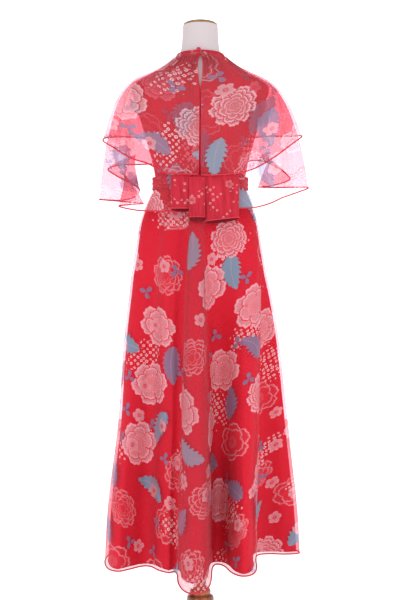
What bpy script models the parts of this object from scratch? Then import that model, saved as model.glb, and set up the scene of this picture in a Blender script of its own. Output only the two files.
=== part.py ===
"""A lined chiffon maxi dress with a two-tier capelet and a bow at the centre back.

It stands on a limbless dress form. Metres, +Z up. The garment faces -Y, so +X is the wearer's left.
The origin is the middle of the base's underside.
Turns are in degrees from the centre back (+Y) towards the wearer's left (+X).
"""

import math

import bpy
import numpy as np

# ---- driving sizes --------------------------------------------------------------------------------
CLOTH = 0.0012  # wall of every cloth panel
SEAM = 0.0003  # clearance between pieces that are sewn or rest together

WAIST_HEIGHT = 1.2535
OVERLAY_HEM_HEIGHT = 0.225
OVERLAY_HEM_DIP = 0.027  # the overlay hangs lower at the deep back fold
LINING_HEM_HEIGHT = 0.2305
LINING_HEM_DIP = 0.008
NECK_BACK_HEIGHT = 1.605
NECK_FRONT_HEIGHT = 1.556

BACK_SCOOP, FRONT_SCOOP = 8.0, 21.0  # degrees that the armhole takes of the back and the front
BODICE_LEVEL = 0.0026  # how far each layer's outer face stands off the figure at the shoulders
UPPER_CAPE_LEVEL = 0.0090
SKIRT_LEVEL = 0.0036  # the overlay's outer face, over the lining, at the waist seam
SASH_HEIGHT = 0.035
SASH_RISE = 0.005  # the sash sits a little above the waist seam
SASH_WALL = 0.0020
SASH_BELLY = 0.0010  # its middle stands out this much

TORSO_BOTTOM = 0.985
FORM_INSET = 0.0013
NECK_TOP = 1.693
CAP_DOME = 0.014
BASE_RADIUS = 0.190
BASE_HEIGHT = 0.040

# ---- the figure: half-width, depth of the back and of the front at each height --------------------
FIGURE = {
    "height": (0.985, 1.04, 1.10, 1.17, 1.2535, 1.30, 1.36, 1.42, 1.46, 1.49, 1.510,
               1.520, 1.531, 1.541, 1.554, 1.5685, 1.582, 1.597, 1.609, 1.625, 1.65, 1.693),
    "width": (0.142, 0.150, 0.148, 0.134, 0.116, 0.122, 0.138, 0.156, 0.172, 0.180, 0.186,
              0.187, 0.179, 0.1605, 0.1325, 0.1055, 0.0860, 0.068, 0.0590, 0.0550, 0.0515, 0.0495),
    "back": (0.098, 0.107, 0.107, 0.098, 0.082, 0.087, 0.098, 0.106, 0.109, 0.107, 0.104,
             0.101, 0.098, 0.095, 0.090, 0.084, 0.077, 0.069, 0.063, 0.058, 0.054, 0.053),
    "front": (0.094, 0.101, 0.099, 0.093, 0.086, 0.094, 0.116, 0.134, 0.122, 0.103, 0.093,
              0.086, 0.081, 0.076, 0.070, 0.065, 0.060, 0.056, 0.054, 0.051, 0.049, 0.048),
}
# Room between the figure and the bodice: close at the shoulders, easier below.
EASE = {"height": (1.2535, 1.36, 1.46, 1.51, 1.60), "room": (0.0038, 0.0030, 0.0016, 0.0, 0.0)}

# ---- the capelet: a row for each crest, hollow and turn of the hems, from the back ----
# turn: where the row leaves the neck; x, y, z: where the hem passes.
UPPER_HEM_LEFT = (
    # turn, x, y, z
    (1.5, 0.006, 0.144, 1.271),
    (14, 0.040, 0.145, 1.271),
    (30, 0.095, 0.136, 1.277),
    (44, 0.139, 0.112, 1.302),
    (56, 0.188, 0.086, 1.321),
    (68, 0.241, 0.055, 1.356),
    (78, 0.2655, 0.022, 1.3745),
    (86, 0.262, -0.010, 1.387),
    (96, 0.230, -0.046, 1.395),
    (108, 0.190, -0.080, 1.399),
    (124, 0.150, -0.114, 1.401),
    (142, 0.102, -0.138, 1.398),
    (162, 0.045, -0.151, 1.392),
)
UPPER_HEM_RIGHT = (
    (1.5, -0.003, 0.144, 1.269),
    (14, -0.046, 0.145, 1.269),
    (30, -0.105, 0.137, 1.275),
    (42, -0.137, 0.118, 1.286),
    (54, -0.163, 0.097, 1.300),
    (64, -0.206, 0.070, 1.329),
    (74, -0.252, 0.036, 1.366),
    (82, -0.280, 0.006, 1.390),
    (90, -0.260, -0.022, 1.394),
    (98, -0.228, -0.046, 1.397),
    (108, -0.194, -0.074, 1.401),
    (124, -0.152, -0.112, 1.402),
    (142, -0.102, -0.138, 1.398),
    (162, -0.045, -0.151, 1.392),
)
LOWER_HEM_LEFT = (
    (1.5, 0.020, 0.122, 1.174),
    (14, 0.046, 0.126, 1.174),
    (26, 0.088, 0.127, 1.174),
    (38, 0.132, 0.118, 1.176),
    (48, 0.172, 0.108, 1.179),
    (56, 0.2176, 0.097, 1.190),
    (62, 0.190, 0.074, 1.196),
    (68, 0.155, 0.054, 1.201),
    (76, 0.214, 0.036, 1.208),
    (84, 0.2770, 0.012, 1.2155),
    (91, 0.220, -0.012, 1.215),
    (98, 0.182, -0.034, 1.227),
    (104, 0.171, -0.052, 1.250),
    (110, 0.196, -0.070, 1.268),
    (117, 0.238, -0.088, 1.292),
    (124, 0.262, -0.100, 1.312),
    (132, 0.226, -0.116, 1.325),
    (142, 0.176, -0.132, 1.328),
    (155, 0.118, -0.147, 1.331),
    (168, 0.052, -0.156, 1.324),
)
LOWER_HEM_RIGHT = (
    (1.5, -0.018, 0.122, 1.181),
    (14, -0.046, 0.126, 1.181),
    (26, -0.092, 0.126, 1.182),
    (38, -0.140, 0.115, 1.185),
    (48, -0.169, 0.100, 1.192),
    (58, -0.197, 0.082, 1.203),
    (68, -0.2217, 0.060, 1.216),
    (77, -0.262, 0.034, 1.232),
    (84, -0.297, 0.008, 1.248),
    (90, -0.256, -0.020, 1.252),
    (96, -0.210, -0.040, 1.253),
    (102, -0.163, -0.058, 1.256),
    (108, -0.196, -0.076, 1.261),
    (114, -0.234, -0.089, 1.272),
    (120, -0.2545, -0.099, 1.286),
    (128, -0.222, -0.113, 1.316),
    (138, -0.178, -0.130, 1.338),
    (150, -0.128, -0.145, 1.338),
    (166, -0.056, -0.156, 1.326),
)
CENTRE_FRONT_UPPER = (180, 0.0, -0.154, 1.390)
CENTRE_FRONT_LOWER = (180, 0.0, -0.159, 1.321)
# Height at which the capelet leaves the figure and hangs.
CAPE_BREAK = {
    "turn": (0, 30, 55, 75, 105, 122, 145, 180),
    "height": (1.455, 1.475, 1.518, 1.536, 1.536, 1.519, 1.455, 1.430),
}
TIER_NEST = {"share": (0.0, 0.45, 0.75, 1.0), "gap": (0.0027, 0.0047, 0.0072, 0.0120)}
CAPE_LIFT = 0.0032  # the capelet bridges the hollow before it leaves the figure
LIE_ROWS = 5
LIE_SHARE = 0.5  # part of the upper tier that lies on the figure
BOW_ROOM = 0.012  # the lower tier hangs this much deeper at the centre back, below the bow
BOW_ROOM_TURN = 42
# Middle of each tier's centre-back slit, and half its width at the hem.
UPPER_SLIT_X, UPPER_SLIT_HALF = 0.0, 0.0025
LOWER_SLIT_X, LOWER_SLIT_HALF = 0.002, 0.0200

# ---- the skirt: a row for each crest and hollow of its folds, all the way round from the centre back ----
# waist_turn, hip_turn: where the row passes the waist and the hip; hip_out: how far out at the hip;
# hem_x, hem_y: where the overlay's hem passes.
SKIRT_FOLDS = (
    # waist_turn, hip_turn, hip_out, hem_x, hem_y
    (2.2, 2.6, 0.036, 0.0172, 0.262),
    (4.0, 6.0, 0.036, 0.0415, 0.240),
    (5.6, 8.6, 0.026, 0.0580, 0.205),
    (8.0, 11.5, 0.004, 0.0620, 0.158),
    (12, 16, -0.003, 0.0700, 0.136),
    (20, 22, 0.001, 0.0870, 0.146),
    (28, 30, 0.005, 0.1147, 0.1185),
    (36, 38, -0.003, 0.1364, 0.0780),
    (43, 45, -0.005, 0.1594, 0.0740),
    (52, 53, 0.000, 0.1908, 0.107),
    (62, 62, 0.006, 0.2194, 0.1330),
    (72, 71, 0.004, 0.2464, 0.114),
    (84, 83, 0.000, 0.2620, 0.060),
    (97, 96, 0.000, 0.2680, -0.010),
    (110, 109, 0.002, 0.2580, -0.080),
    (122, 121, 0.000, 0.2280, -0.135),
    (134, 133, -0.003, 0.1850, -0.168),
    (146, 145, 0.002, 0.1400, -0.212),
    (158, 157, 0.005, 0.0950, -0.245),
    (170, 169, 0.001, 0.0450, -0.236),
    (182, 181, -0.003, -0.0050, -0.222),
    (194, 193, 0.001, -0.0550, -0.240),
    (206, 205, 0.005, -0.1050, -0.258),
    (217, 216, 0.002, -0.1520, -0.232),
    (228, 227, -0.002, -0.1960, -0.196),
    (240, 238, 0.001, -0.2400, -0.166),
    (251, 249, 0.003, -0.2640, -0.126),
    (260, 258, 0.003, -0.2700, -0.0880),
    (267, 265, 0.001, -0.2330, -0.0740),
    (273, 272, -0.002, -0.1900, -0.0790),
    (279, 279, -0.006, -0.1580, -0.0650),
    (285, 286, -0.008, -0.1480, -0.0100),
    (291, 292, 0.000, -0.1470, 0.0700),
    (298, 298, 0.008, -0.1400, 0.1400),
    (307, 306, 0.008, -0.1240, 0.1800),
    (317, 316, 0.003, -0.1000, 0.1850),
    (326, 325, 0.000, -0.0790, 0.1480),
    (335, 334, -0.004, -0.0660, 0.0880),
    (343, 342, -0.007, -0.0520, 0.0540),
    (350, 348, -0.005, -0.0380, 0.0580),
    (355, 353, 0.002, -0.0310, 0.1050),
    (358, 356.5, 0.026, -0.0260, 0.2000),
    (360, 359, 0.035, -0.0080, 0.2480),
)
HIP_WIDTH = 0.172
HIP_BACK = 0.131
HIP_FRONT = 0.121
# Share of the way from the waist to the hip, and from there to the hem, gone at each height.
WAIST_TO_HIP = {
    "height": (1.050, 1.091, 1.1325, 1.174, 1.193, 1.218, 1.2535),
    "share": (1.0, 0.86, 0.74, 0.54, 0.43, 0.26, 0.0),
}
HIP_TO_HEM = {
    "height": (0.19, 0.225, 0.307, 0.39, 0.4725, 0.555, 0.6375, 0.72, 0.80, 0.885, 0.9675, 1.050),
    "share": (1.02, 1.0, 0.965, 0.90, 0.80, 0.70, 0.605, 0.51, 0.42, 0.31, 0.165, 0.0),
}
# How much further than those tables each side of the skirt stands out.
SIDE_ROOM = {
    "height": (0.20, 0.445, 0.577, 0.775, 0.94, 1.02, 1.15, 1.19, 1.2535),
    "left": (-0.006, -0.006, -0.008, 0.0, 0.005, 0.010, 0.011, 0.008, 0.0),
    "right": (0.010, 0.009, 0.010, 0.011, 0.008, 0.005, 0.003, 0.002, 0.0),
}
OVERLAY_ROOM = {"height": (0.20, 0.70, 1.10, 1.2535), "gap": (0.0085, 0.0065, 0.0040, 0.0004)}
SIDE_SEAM_LEFT = 13  # rows of SKIRT_FOLDS at which the side seams run
SIDE_SEAM_RIGHT = 27

# ---- the bow --------------------------------------------------------------------------------------
BOW_TOP = 1.270
KNOT_X = 0.0075
KNOT_HEIGHT = 1.2555
KNOT_HALF = (0.0155, 0.0215, 0.0150)
LOOP_LEFT_END = 0.0775  # how far each loop reaches from the knot
LOOP_LEFT_DROP = (1.1815, 1.1815)  # height of the lower edge beside the knot and at the far end
LOOP_LEFT_PUFFS = (0.0042, 0.0075)  # half the loop's depth at the top and at the bottom
LOOP_RIGHT_END = -0.1020
LOOP_RIGHT_DROP = (1.1475, 1.1580)
LOOP_RIGHT_PUFFS = (0.0044, 0.0095)
LOOP_TUCK = 0.0006  # the loops' inner ends lie this far inside the knot's widest line
LOOP_DEPTH = 0.1335  # middle of the loops at the top
LOOP_SWING = 0.0065  # the loops stand this much further out at the bottom
TAIL_SPAN = (-0.0120, 0.0290)
TAIL_TOP = 1.264
TAIL_BOTTOM = 1.158
TAIL_ON_KNOT = 0.16  # upper part of the tail that lies flat on the knot
TAIL_SWING = 0.0150  # the tail stands this much further out at the bottom

# Base colour, roughness and metallic value of each material.
FINISHES = {
    "lining": ((0.76, 0.030, 0.060), 0.55, 0.0),
    "chiffon": ((0.78, 0.045, 0.075), 0.70, 0.0),
    "form": ((0.83, 0.78, 0.78), 0.75, 0.0),
    "brass": ((0.42, 0.24, 0.12), 0.35, 1.0),
    "wood": ((0.33, 0.10, 0.055), 0.40, 0.0),
}


# ---- curves and tables ----------------------------------------------------------------------------
def eased(table, key, value, at):
    """Reads a table with a cubic that never overshoots its rows."""
    x = np.asarray(table[key], float)
    y = np.asarray(table[value], float)
    step = np.diff(x)
    slope = np.diff(y) / step
    tangent = np.zeros_like(y)
    same_way = slope[:-1] * slope[1:] > 0
    safe = np.where(same_way, slope[:-1] + slope[1:], 1.0)
    tangent[1:-1] = np.where(same_way, 2 * slope[:-1] * slope[1:] / safe, 0.0)
    tangent[0], tangent[-1] = slope[0], slope[-1]
    at = np.clip(np.asarray(at, float), x[0], x[-1])
    i = np.clip(np.searchsorted(x, at, side="right") - 1, 0, len(x) - 2)
    t = (at - x[i]) / step[i]
    return (
        y[i] * (1 + 2 * t) * (1 - t) ** 2
        + tangent[i] * step[i] * t * (1 - t) ** 2
        + y[i + 1] * t * t * (3 - 2 * t)
        + tangent[i + 1] * step[i] * t * t * (t - 1)
    )


def through_rows(rows, at, closed):
    """Catmull-Rom curve through the rows, read at row numbers that may lie between two rows."""
    rows = np.asarray(rows, float)
    count = len(rows)
    i = np.floor(at).astype(int)
    if not closed:
        i = np.clip(i, 0, count - 2)
    t = (at - i)[:, None]

    def row(k):
        return rows[k % count] if closed else rows[np.clip(k, 0, count - 1)]

    a, b, c, d = row(i - 1), row(i), row(i + 1), row(i + 2)
    return 0.5 * (2 * b + (c - a) * t + (2 * a - 5 * b + 4 * c - d) * t**2 + (3 * b - 3 * c + d - a) * t**3)


def unit(vectors):
    return vectors / np.maximum(np.linalg.norm(vectors, axis=-1, keepdims=True), 1e-12)


def even_steps(lines, shares):
    """Each line of points, read again at the given shares of its length."""
    out = np.empty((len(shares), lines.shape[1], 3))
    for column in range(lines.shape[1]):
        line = lines[:, column]
        run = np.concatenate([[0.0], np.cumsum(np.linalg.norm(np.diff(line, axis=0), axis=1))])
        for axis in range(3):
            out[:, column, axis] = np.interp(np.asarray(shares) * run[-1], run, line[:, axis])
    return out


def outward(grid, closed=False):
    """Unit normals of a grid of rows from the top and columns by turn, pointing out."""
    down = np.gradient(grid, axis=0)
    if closed:
        across = np.roll(grid, -1, axis=1) - np.roll(grid, 1, axis=1)
    else:
        across = np.gradient(grid, axis=1)
    return unit(np.cross(across, down))


# ---- the figure and what lies on it ---------------------------------------------------------------
def figure(turn, height):
    """Point of the figure's surface."""
    turn = np.radians(turn)
    width = eased(FIGURE, "height", "width", height)
    back = eased(FIGURE, "height", "back", height)
    front = eased(FIGURE, "height", "front", height)
    depth = np.where(np.cos(turn) > 0, back, front)
    return np.stack(np.broadcast_arrays(width * np.sin(turn), depth * np.cos(turn), height), axis=-1)


def on_figure(turn, height, level):
    """Point that stands off the figure by the bodice's ease and the given level."""
    turn, height, level = np.broadcast_arrays(*(np.asarray(v, float) for v in (turn, height, level)))
    small_turn, small_rise = 0.5, 0.0006
    across = figure(turn + small_turn, height) - figure(turn - small_turn, height)
    down = figure(turn, height - small_rise) - figure(turn, height + small_rise)
    normal = unit(np.cross(across, down))
    room = eased(EASE, "height", "room", height) + level
    return figure(turn, height) + normal * room[..., None]


def neck_height(turn):
    level_back = 4  # the higher, the further forward the neck edge stays level
    to_front = 0.5 - 0.5 * np.cos(np.radians(turn))
    return NECK_BACK_HEIGHT + (NECK_FRONT_HEIGHT - NECK_BACK_HEIGHT) * to_front**level_back


# ---- meshes ---------------------------------------------------------------------------------------
def clear_scene():
    for obj in list(bpy.data.objects):
        bpy.data.objects.remove(obj, do_unlink=True)


def finish_material(name):
    material = bpy.data.materials.get(name)
    if material:
        return material
    colour, roughness, metallic = FINISHES[name]
    material = bpy.data.materials.new(name)
    material.use_nodes = True
    shader = material.node_tree.nodes["Principled BSDF"]
    shader.inputs["Base Color"].default_value = (*colour, 1.0)
    shader.inputs["Roughness"].default_value = roughness
    shader.inputs["Metallic"].default_value = metallic
    return material


def add_mesh(name, points, faces, finish):
    """Object with its faces turned out."""
    points = np.asarray(points, float)
    faces = [tuple(int(v) for v in face) for face in faces]
    volume = 0.0
    for face in faces:
        for k in range(1, len(face) - 1):
            volume += np.dot(points[face[0]], np.cross(points[face[k]], points[face[k + 1]]))
    if volume < 0:
        faces = [face[::-1] for face in faces]
    mesh = bpy.data.meshes.new(name)
    mesh.from_pydata(points.tolist(), [], faces)
    mesh.shade_smooth()
    mesh.set_sharp_from_angle(angle=math.radians(40))
    mesh.materials.append(finish_material(finish))
    obj = bpy.data.objects.new(name, mesh)
    bpy.context.scene.collection.objects.link(obj)
    return obj


def wall(name, outer, inner, finish, closed=False):
    """Closed solid between two grids of points, both cut into triangles the same way."""
    rows, columns = outer.shape[:2]
    shift = rows * columns
    faces = []
    for r in range(rows - 1):
        for c in range(columns if closed else columns - 1):
            n = (c + 1) % columns
            a, b = r * columns + c, r * columns + n
            d, e = (r + 1) * columns + c, (r + 1) * columns + n
            faces += [(a, d, e), (a, e, b)]
            faces += [(a + shift, e + shift, d + shift), (a + shift, b + shift, e + shift)]
    for r in (0, rows - 1):
        for c in range(columns if closed else columns - 1):
            n = (c + 1) % columns
            a, b = r * columns + c, r * columns + n
            edge = [(a, b, b + shift), (a, b + shift, a + shift)]
            faces += edge if r == 0 else [face[::-1] for face in edge]
    if not closed:
        for c in (0, columns - 1):
            for r in range(rows - 1):
                a, d = r * columns + c, (r + 1) * columns + c
                edge = [(a, a + shift, d + shift), (a, d + shift, d)]
                faces += edge if c == 0 else [face[::-1] for face in edge]
    return add_mesh(name, np.concatenate([outer.reshape(-1, 3), inner.reshape(-1, 3)]), faces, finish)


def cloth(name, outer, finish, closed=False, thickness=CLOTH):
    """Panel of cloth whose outer face is the grid."""
    return wall(name, outer, outer - outward(outer, closed) * thickness, finish, closed)


def stacked_rings(name, rings, finish):
    """Closed solid through rings of points from bottom to top, with flat ends."""
    rings = np.asarray(rings, float)
    levels, count = rings.shape[:2]
    faces = [tuple(range(count))[::-1], tuple((levels - 1) * count + k for k in range(count))]
    for r in range(levels - 1):
        for c in range(count):
            n = (c + 1) % count
            faces.append((r * count + c, r * count + n, (r + 1) * count + n, (r + 1) * count + c))
    return add_mesh(name, rings.reshape(-1, 3), faces, finish)


def turned(name, profile, finish, sides=32):
    """Turned piece about the Z axis from its (radius, height) rows, bottom to top."""
    angles = np.radians(np.arange(sides) * 360 / sides)
    rings = [
        np.stack([r * np.sin(angles), r * np.cos(angles), np.full(sides, z)], axis=-1)
        for r, z in profile
    ]
    return stacked_rings(name, rings, finish)


# ---- the dress form -------------------------------------------------------------------------------
def form_torso():
    """The padded body, a hair inside the figure so that the bodice clears its facets."""
    heights = np.array(FIGURE["height"])
    turns = np.arange(24) * 360 / 24
    rings = figure(turns[None, :], heights[:, None])
    middle = np.array([0.0, 0.0, 1.0]) * heights[:, None, None]
    rings = rings - unit(rings - middle) * FORM_INSET
    stacked_rings("form_torso", rings, "form")


def form_neck_cap():
    radius = FIGURE["width"][-1] - 0.003
    rim = 0.0055
    bottom = NECK_TOP + SEAM
    profile = [(radius, bottom), (radius, bottom + rim)]
    for step in (25, 50, 70, 82):
        angle = math.radians(step)
        profile.append((radius * math.cos(angle), bottom + rim + (CAP_DOME - rim) * math.sin(angle)))
    turned("form_neck_cap", profile, "brass", sides=20)


def form_pole():
    bottom = BASE_HEIGHT + SEAM
    profile = (
        (0.046, bottom),
        (0.046, 0.048),
        (0.038, 0.058),
        (0.034, 0.080),
        (0.0365, 0.105),
        (0.0370, 0.122),
        (0.0340, 0.129),
        (0.0250, 0.1315),
        (0.0280, 0.136),
        (0.0280, 0.143),
        (0.0235, 0.149),
        (0.0170, 0.156),
        (0.0160, 0.30),
        (0.0160, TORSO_BOTTOM - SEAM),
    )
    turned("form_pole", profile, "wood", sides=16)


def form_base():
    profile = (
        (BASE_RADIUS - 0.003, 0.0),
        (BASE_RADIUS, 0.004),
        (BASE_RADIUS, 0.016),
        (BASE_RADIUS - 0.008, 0.024),
        (BASE_RADIUS - 0.040, 0.030),
        (0.080, 0.037),
        (0.060, BASE_HEIGHT),
    )
    turned("form_base", profile, "wood", sides=32)


# ---- the bodice -----------------------------------------------------------------------------------
def armhole_reach(height, reach):
    """Degrees by which a panel stops short of the side line at this height, for the armhole."""
    top, bottom = 1.526, 1.402
    share = np.clip((height - bottom) / (top - bottom), 0, 1)
    return reach * np.sin(np.pi * share) ** 0.6


def keyhole_half_gap(height):
    """Half the gap between the two backs at the centre, in degrees of turn."""
    top, bottom, half_width = NECK_BACK_HEIGHT - 0.004, 1.500, 4.2
    share = np.clip((height - bottom) / (top - bottom), 0, 1)
    return 0.16 + half_width * np.sin(np.pi * share**1.7)


def bodice_panel(edge_turn):
    """Left half of the back (edge_turn 0) or the front (180), from the centre to the side."""
    column_shares = np.linspace(0, 1, 10)
    lower = np.array([1.545, 1.535, 1.524, 1.510, 1.49, 1.46, 1.42, 1.36, 1.30, WAIST_HEIGHT + SEAM])
    side_seam = 0.25
    above = 5
    grid = np.empty((above + len(lower), len(column_shares), 3))
    for c, share in enumerate(column_shares):
        turn = edge_turn + (90 - edge_turn) * share
        neck = float(neck_height(turn)) - SEAM
        upper = np.linspace(neck, lower[0], above + 1)[:-1]
        heights = np.concatenate([upper, lower])
        if edge_turn < 90:
            near_edge = keyhole_half_gap(heights)
            far_edge = 90 - armhole_reach(heights, BACK_SCOOP) - side_seam
        else:
            near_edge = np.full_like(heights, edge_turn)
            far_edge = 90 + armhole_reach(heights, FRONT_SCOOP) + side_seam
        turns = near_edge + (far_edge - near_edge) * share
        grid[:, c] = on_figure(turns, heights, BODICE_LEVEL)
    return grid


def bodice():
    """Two backs that meet at the centre back, and a front in one piece."""
    left = bodice_panel(0)
    cloth("bodice_back_left", left, "lining")
    cloth("bodice_back_right", mirrored(left), "lining")
    front_left = bodice_panel(180)[:, ::-1]
    front = np.concatenate([front_left, mirrored(front_left)[:, 1:]], axis=1)
    cloth("bodice_front", front, "lining")


def mirrored(grid):
    """The grid on the other side, with its columns still running from the wearer's left to the right."""
    return (grid * np.array([-1.0, 1.0, 1.0]))[:, ::-1]


# ---- the capelet ----------------------------------------------------------------------------------
def hem_rows(left, front, right):
    """Hem rows all the way round; the right side's turns run on past the front."""
    mirrored = [(360 - turn, x, y, z) for turn, x, y, z in reversed(right)]
    return np.array([*left, front, *mirrored], float)


def cape_columns(rows, per_row):
    """Turn at the neck and point at the hem of each of the capelet's columns."""
    at = np.linspace(0, len(rows) - 1, (len(rows) - 1) * per_row + 1)
    return through_rows(rows, at, closed=False)


def hung_curve(start, start_way, end, end_way, steps):
    """Hermite curve for cloth that leaves start along start_way and reaches end along end_way."""
    reach = np.linalg.norm(end - start, axis=-1, keepdims=True)
    lines = []
    for t in steps:
        lines.append(
            (2 * t**3 - 3 * t**2 + 1) * start
            + (t**3 - 2 * t**2 + t) * reach * start_way
            + (3 * t**2 - 2 * t**3) * end
            + (t**3 - t**2) * reach * end_way
        )
    return np.array(lines)


def upper_tier(turns, hem, hang_steps):
    """Grid of the upper tier's outer face: lying over the shoulders, then hanging to its hem."""
    folded = np.minimum(turns, 360 - turns)
    break_height = eased(CAPE_BREAK, "turn", "height", folded)
    neck = neck_height(turns) - 2 * SEAM
    run = np.linspace(0, 1, 25)[:, None]
    heights = neck + (break_height - neck) * run
    lie = on_figure(turns[None, :], heights, UPPER_CAPE_LEVEL + CAPE_LIFT * run**2)
    leave = unit(lie[-1] - lie[-2])
    fall = unit(unit(hem - lie[-1]) + np.array([0.0, 0.0, -0.6]))
    lie = even_steps(lie, 1 - (1 - np.linspace(0, 1, LIE_ROWS + 1)) ** 1.25)
    hang = hung_curve(lie[-1], leave, hem, fall, hang_steps[1:])
    return np.concatenate([lie, hang])


def slit_gap(height, low_half):
    """Half-width of the centre-back slit: a drop below the button, and open behind the bow."""
    table = {
        "height": (1.16, 1.25, 1.275, 1.295, 1.49, 1.52, 1.55, 1.578, 1.592, 1.603),
        "half": (low_half, low_half, low_half, 0.0012, 0.0012, 0.0018, 0.0034, 0.0050, 0.0044, 0.0014),
    }
    return eased(table, "height", "half", height)


def open_slit(grid, middle, low_half):
    """Slides the columns beside the slit so that its two edges follow the slit's half-width."""
    reach = 0.060
    half = slit_gap(grid[..., 2], low_half)
    back = grid[..., 1] > 0
    x = grid[..., 0] - middle
    near = back & (np.abs(x) < reach)
    side = np.ones(grid.shape[1])
    side[grid.shape[1] // 2:] = -1
    away = np.abs(x) * np.sign(x) * side
    moved = half + np.maximum(away, 0) * (reach - half) / reach
    grid[..., 0] = np.where(near, middle + side * moved, grid[..., 0])
    return grid


def capelet():
    rows_up = hem_rows(UPPER_HEM_LEFT, CENTRE_FRONT_UPPER, UPPER_HEM_RIGHT)
    row = cape_columns(rows_up, 2)
    upper = upper_tier(row[:, 0], row[:, 1:], np.linspace(0, 1, 5))
    cloth("cape_upper", open_slit(upper, UPPER_SLIT_X, UPPER_SLIT_HALF), "chiffon")

    rows_low = hem_rows(LOWER_HEM_LEFT, CENTRE_FRONT_LOWER, LOWER_HEM_RIGHT)
    row = cape_columns(rows_low, 2)
    lower = lower_tier(row, rows_up)
    cloth("cape_lower", open_slit(lower, LOWER_SLIT_X, LOWER_SLIT_HALF), "chiffon")


def lower_tier(row, rows_up):
    """Grid of the lower tier's outer face: nested under the upper tier, then on to its own hem."""
    turns = row[:, 0]
    at_up = np.interp(turns, rows_up[:, 0], np.arange(len(rows_up)))
    hem_up = through_rows(rows_up, at_up, closed=False)[:, 1:]
    steps = np.array([0.0, 0.22, 0.58, 1.0])
    cover = upper_tier(turns, hem_up, steps)
    lying = np.linspace(0, LIE_SHARE, LIE_ROWS + 1)
    shares = np.concatenate([lying, LIE_SHARE + (1 - LIE_SHARE) * steps[1:]])
    from_back = np.minimum(turns, 360 - turns) / BOW_ROOM_TURN
    bow_room = BOW_ROOM * np.maximum(1 - from_back**2, 0) ** 2
    hanging = np.maximum(shares - LIE_SHARE, 0) / (1 - LIE_SHARE)
    gap = eased(TIER_NEST, "share", "gap", shares)[:, None] + bow_room[None, :] * (hanging**2)[:, None]
    nested = cover - outward(cover) * gap[..., None]
    leave = unit(nested[-1] - nested[-2])
    hem = row[:, 1:]
    fall = unit(unit(hem - nested[-1]) + np.array([0.0, 0.0, -0.4]))
    below = hung_curve(nested[-1], leave, hem, fall, np.linspace(0, 1, 4)[1:])
    return np.concatenate([nested, below])


# ---- neck edge ------------------------------------------------------------------------------------
def neck_binding():
    """Band that stands on the neck edges, open at the centre back."""
    rise, lining, wall_depth, half_open = 0.0075, 0.0009, 0.0066, 1.6
    turns = np.linspace(half_open, 360 - half_open, 33)
    heights = neck_height(turns) + SEAM
    outer = []
    inner = []
    for share in (0.0, 0.5, 1.0):
        level = lining + wall_depth * (1.0 if share == 0.5 else 0.86)
        outer.append(on_figure(turns, heights + rise * (1 - share), level))
        inner.append(on_figure(turns, heights + rise * (1 - share), lining))
    wall("neck_binding", np.array(outer), np.array(inner), "chiffon")


def neck_button():
    """Small covered button that closes the neck, beside the opening on the wearer's left."""
    centre = button_centre()
    button_radius, half_depth = 0.0042, 0.0028
    rings = []
    for angle in np.radians((-72, -40, -8, 24, 52, 76)):
        radius = button_radius * math.cos(angle)
        depth = half_depth * math.sin(angle)
        spin = np.radians(np.arange(16) * 360 / 16)
        ring = np.stack([radius * np.sin(spin), np.full(16, depth), radius * np.cos(spin)], axis=-1)
        rings.append(centre + ring)
    stacked_rings("neck_button", rings, "chiffon")


def button_centre():
    """The button sits on the binding, a little to the wearer's left of the opening."""
    seat = on_figure(0.0, NECK_BACK_HEIGHT + 0.0065, 0.0080)
    return seat + np.array([0.0045, 0.0030, 0.0])


def neck_loop():
    """Rouleau loop that runs round the button."""
    centre = button_centre()
    spin = np.radians(np.arange(20) * 360 / 20)
    section = np.radians(np.arange(6) * 360 / 6)
    radius, thickness = 0.0053, 0.0009
    tilt_back = 0.0008
    grid = np.empty((6, 20, 3))
    for k, angle in enumerate(section):
        reach = radius + thickness * math.cos(angle)
        depth = np.full(20, thickness * math.sin(angle) - tilt_back)
        grid[k] = centre + np.stack([reach * np.sin(spin), depth, reach * np.cos(spin)], axis=-1)
    points = grid.reshape(-1, 3)
    faces = []
    for k in range(6):
        for c in range(20):
            a, b = k * 20 + c, k * 20 + (c + 1) % 20
            d, e = ((k + 1) % 6) * 20 + c, ((k + 1) % 6) * 20 + (c + 1) % 20
            faces.append((a, b, e, d))
    add_mesh("neck_loop", points, faces, "chiffon")


# ---- the skirt ------------------------------------------------------------------------------------
def skirt_rings(at, shares, hem_height, hem_dip):
    """Grid of the skirt's overlay face at row numbers of SKIRT_FOLDS, from the waist to the hem."""
    row = through_rows(fold_rows(), at, closed=True)
    waist, hip, hem = row[:, 0:2], row[:, 2:4], row[:, 4:6]
    at_back_fold = np.exp(-(((hem[:, 1] - 0.25) / 0.07) ** 2) - ((hem[:, 0] - 0.015) / 0.06) ** 4)
    dip = hem_dip * at_back_fold
    grid = np.empty((len(shares), len(at), 3))
    top = WAIST_HEIGHT - SEAM
    for r, share in enumerate(shares):
        heights = top + (hem_height - dip - top) * share
        to_hip = eased(WAIST_TO_HIP, "height", "share", heights)[:, None]
        to_hem = eased(HIP_TO_HEM, "height", "share", heights)[:, None]
        grid[r, :, :2] = waist + (hip - waist) * to_hip + (hem - hip) * to_hem
        grid[r, :, 2] = heights
    x = grid[..., 0]
    side = x / np.abs(x).max(axis=1, keepdims=True)
    left = eased(SIDE_ROOM, "height", "left", grid[..., 2])
    right = eased(SIDE_ROOM, "height", "right", grid[..., 2])
    grid[..., 0] = x + side * np.where(side > 0, left, right)
    return grid


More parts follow.
